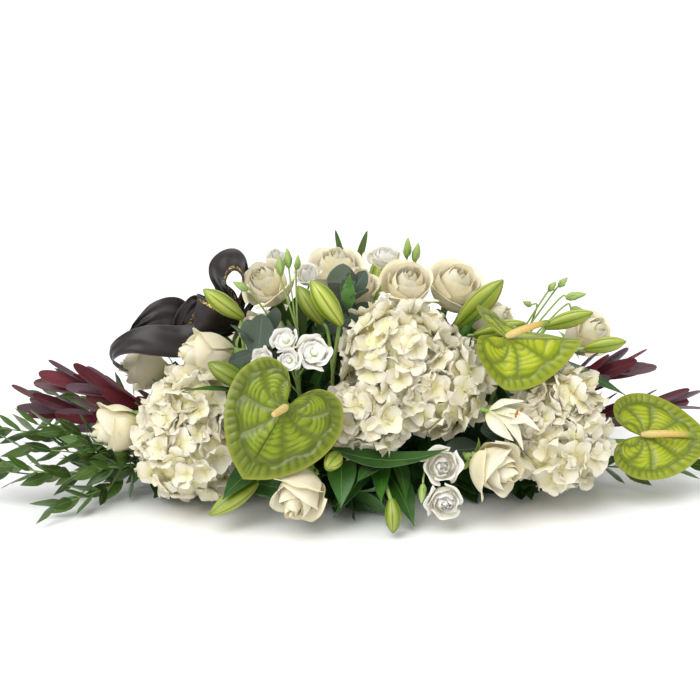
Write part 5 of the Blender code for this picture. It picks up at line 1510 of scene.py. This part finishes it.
print("branches")
for node, (kindName, seed, radius, points) in branches.items():
    kind = leafKinds[kindName]
    path = smoothPath(points, 5)
    twig = bmesh.new()
    addTo(twig, tube(path, lambda share, around: radius * (1 - 0.5 * share), 7), None, 0.3)
    leavesAlong(leafPiles[node], path, kind, kind["count"], kind["first"], seed, 1.0)
    for k, sprigPoints in enumerate(sprigs.get(node, ())):
        sprig = smoothPath(sprigPoints, 5)
        addTo(twig, tube(sprig, lambda share, around: radius * (0.7 - 0.3 * share), 6), None, 0.3)
        leavesAlong(leafPiles[node], sprig, kind, 13, 0.12, seed + k * 1.3, 0.95)
    finishPiece(node + "_twig", twig, greenStem, [node], kind["slot"])

# Single leaves that the photo shows plainly: base, tip, way the face looks, width
singleLeaves = {
    "salal_front": [((-126, -146, 50), (-62, -160, 43), (0, 40), 28)],
    "salal_top": [
        ((100, 0, 150), (104, -14, 214), (10, 20), 34), ((128, 0, 150), (136, -10, 206), (10, 20), 30),
        ((40, 0, 150), (44, -16, 218), (0, 20), 30), ((-4, 66, 232), (-18, 58, 293), (-10, 20), 8),
        ((4, 66, 232), (21, 58, 292), (10, 20), 9), ((-96, 20, 150), (-86, 8, 214), (0, 20), 34),
        ((-70, 20, 150), (-62, 6, 224), (10, 20), 30), ((14, 20, 150), (18, 0, 214), (0, 20), 32),
    ],
    "eucalyptus_left": [
        ((-100, -96, 232), (-106, -114, 184), (-10, 14), 35), ((-108, -108, 190), (-138, -116, 182), (-10, 40), 17),
        ((-92, -84, 208), (-84, -100, 240), (20, 20), 20), ((-88, -84, 196), (-60, -92, 212), (10, 40), 24),
    ],
    "eucalyptus_top": [
        ((-12, -44, 240), (-8, -46, 278), (5, 12), 34), ((0, -50, 214), (-34, -58, 206), (0, 30), 26),
        ((4, -48, 224), (22, -62, 206), (10, 20), 24),
    ],
    "eucalyptus_front": [
        ((184, -110, 92), (150, -140, 108), (-10, 40), 26), ((150, -118, 78), (108, -140, 84), (0, 40), 30),
        ((196, -112, 96), (214, -136, 104), (20, 40), 26),
    ],
}
for node, places in singleLeaves.items():
    for k, (base, tip, aim, width) in enumerate(places):
        shape = dict(leafKinds["eucalyptus"]["blade"], swell=0.5, grid=(8, 12))
        made = blade(base, tip, facing(*aim), width, shape, k * 2.1, free=False)
        addTo(leafPiles[node], made, None, random.Random(f"{node} {k}").random())

# Leaves pushed into the foam between the flowers, on every side. Some foam still shows at both ends.
# For each side: how many, the box their feet lie in, how far they reach and the way they point.
fillLook = {
    "top": (46, (-218, 218), (-50, 50), (96, 98), 60, (0, 0, 0.9)),
    "crown": (34, (-150, 150), (-30, 50), (118, 150), 62, (0, 0, 1.2)),
    "back": (60, (-218, 218), (50, 54), (24, 92), 60, (0, 1, 0.3)),
    "front": (34, (-218, 218), (-54, -50), (26, 92), 60, (0, -1, 0.1)),
    "low": (30, (-222, 226), (-56, -50), (22, 44), 54, (0, -1, -0.3)),
    "lowBack": (48, (-222, 226), (50, 56), (22, 44), 54, (0, 1, -0.3)),
    "left": (24, (-224, -216), (-46, 46), (24, 90), 62, (-1, 0, 0.2)),
    "right": (24, (216, 224), (-46, 46), (24, 90), 62, (1, 0, 0.2)),
}
draw = random.Random(41)
for side, (count, xs, ys, zs, long, way) in fillLook.items():
    for k in range(count):
        base = Vector((draw.uniform(*xs), draw.uniform(*ys), draw.uniform(*zs)))
        heading = Vector(way) + Vector([draw.uniform(-0.55, 0.55) for axis in range(3)])
        heading.x += base.x / 550
        heading.normalize()
        tip = base + heading * long * draw.uniform(0.75, 1.15)
        tip.z = max(tip.z, lowestFill)
        look = heading.cross(Vector((draw.uniform(-1, 1), draw.uniform(-1, 1), 0.2)))
        look = look if look.z > 0 else -look
        made = blade(base, tip, look + up * 0.4 + Vector(way) * 0.3, 32 * draw.uniform(0.75, 1.15),
                     leafKinds["salal"]["blade"], k * 1.3)
        if side in ("top", "crown"):
            node = "salal_top"
        elif way[1] < 0 or (way[0] < 0 and base.y < 0):
            node = "salal_front"
        else:
            node = "salal_back" if base.x < 0 else "salal_back_right"
        if made:
            addTo(leafPiles[node], made, None, draw.random())

for node, branch in branches.items():
    kind = leafKinds[branch[0]]
    finishPiece(node + "_leaves", leafPiles[node], leaves[kind["material"]], [node], kind["slot"])

# Foam and tray keep their CAD shape
for node, material in (("foam_block", foamMaterial()), ("tray", trayMaterial())):
    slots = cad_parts[node].data.materials
    slots.clear()
    slots.append(material)

# Studio: white table, one very large soft lamp high on the left, three softboxes and a pale surround
bpy.ops.mesh.primitive_plane_add(size=60, location=(0, 0, 0))
floor = bpy.context.object
floor.name = "floor"
paper, paperShader = startMaterial("whitePaper", Roughness=0.9)
paperShader.inputs["Base Color"].default_value = linear("#fbfbfb")
floor.data.materials.append(paper)

studio = {
    "lights": [
        {"at": (-1.7, -2.2, 1.8), "size": 1.6, "power": 20},
        {"at": (2.2, -1.6, 1.7), "size": 1.4, "power": 10},
        {"at": (0.2, 1.8, 2.2), "size": 2.0, "power": 12},
    ],
    "sun": {"strength": 1.95, "spread": 50, "from": (-30, 58)},
    "aim": (0, 0, 0.12), "sky": "#ffffff", "skyPower": 0.57,
    "elevation": 17, "distance": 2.2, "lookAt": (0, 0, 0.160), "halfWidth": 0.42,
}
lamps = [(f"softbox{k}", "AREA", lamp) for k, lamp in enumerate(studio["lights"])]
lamps.append(("bigSoft", "SUN", studio["sun"]))
for name, kind, lamp in lamps:
    light = bpy.data.lights.new(name, kind)
    holder = bpy.data.objects.new(name, light)
    if kind == "SUN":
        light.energy = lamp["strength"]
        light.angle = radians(lamp["spread"])
        holder.location = facing(*lamp["from"]) * 3
    else:
        light.energy = lamp["power"]
        light.size = lamp["size"]
        holder.location = lamp["at"]
    holder.rotation_euler = (Vector(studio["aim"]) - holder.location).to_track_quat("-Z", "Y").to_euler()
    bpy.context.scene.collection.objects.link(holder)
world = bpy.data.worlds.new("studio")
world.use_nodes = True
world.node_tree.nodes["Background"].inputs[0].default_value = linear(studio["sky"])
world.node_tree.nodes["Background"].inputs[1].default_value = studio["skyPower"]
bpy.context.scene.world = world
bpy.context.scene.view_settings.view_transform = "Standard"

view = facing(0, studio["elevation"])
cameraData = bpy.data.cameras.new("camera")
cameraData.angle = 2 * atan(studio["halfWidth"] / studio["distance"])
camera = bpy.data.objects.new("camera", cameraData)
camera.location = Vector(studio["lookAt"]) + view * studio["distance"]
camera.rotation_euler = (-view).to_track_quat("-Z", "Y").to_euler()
bpy.context.scene.collection.objects.link(camera)
bpy.context.scene.camera = camera

print("finished")
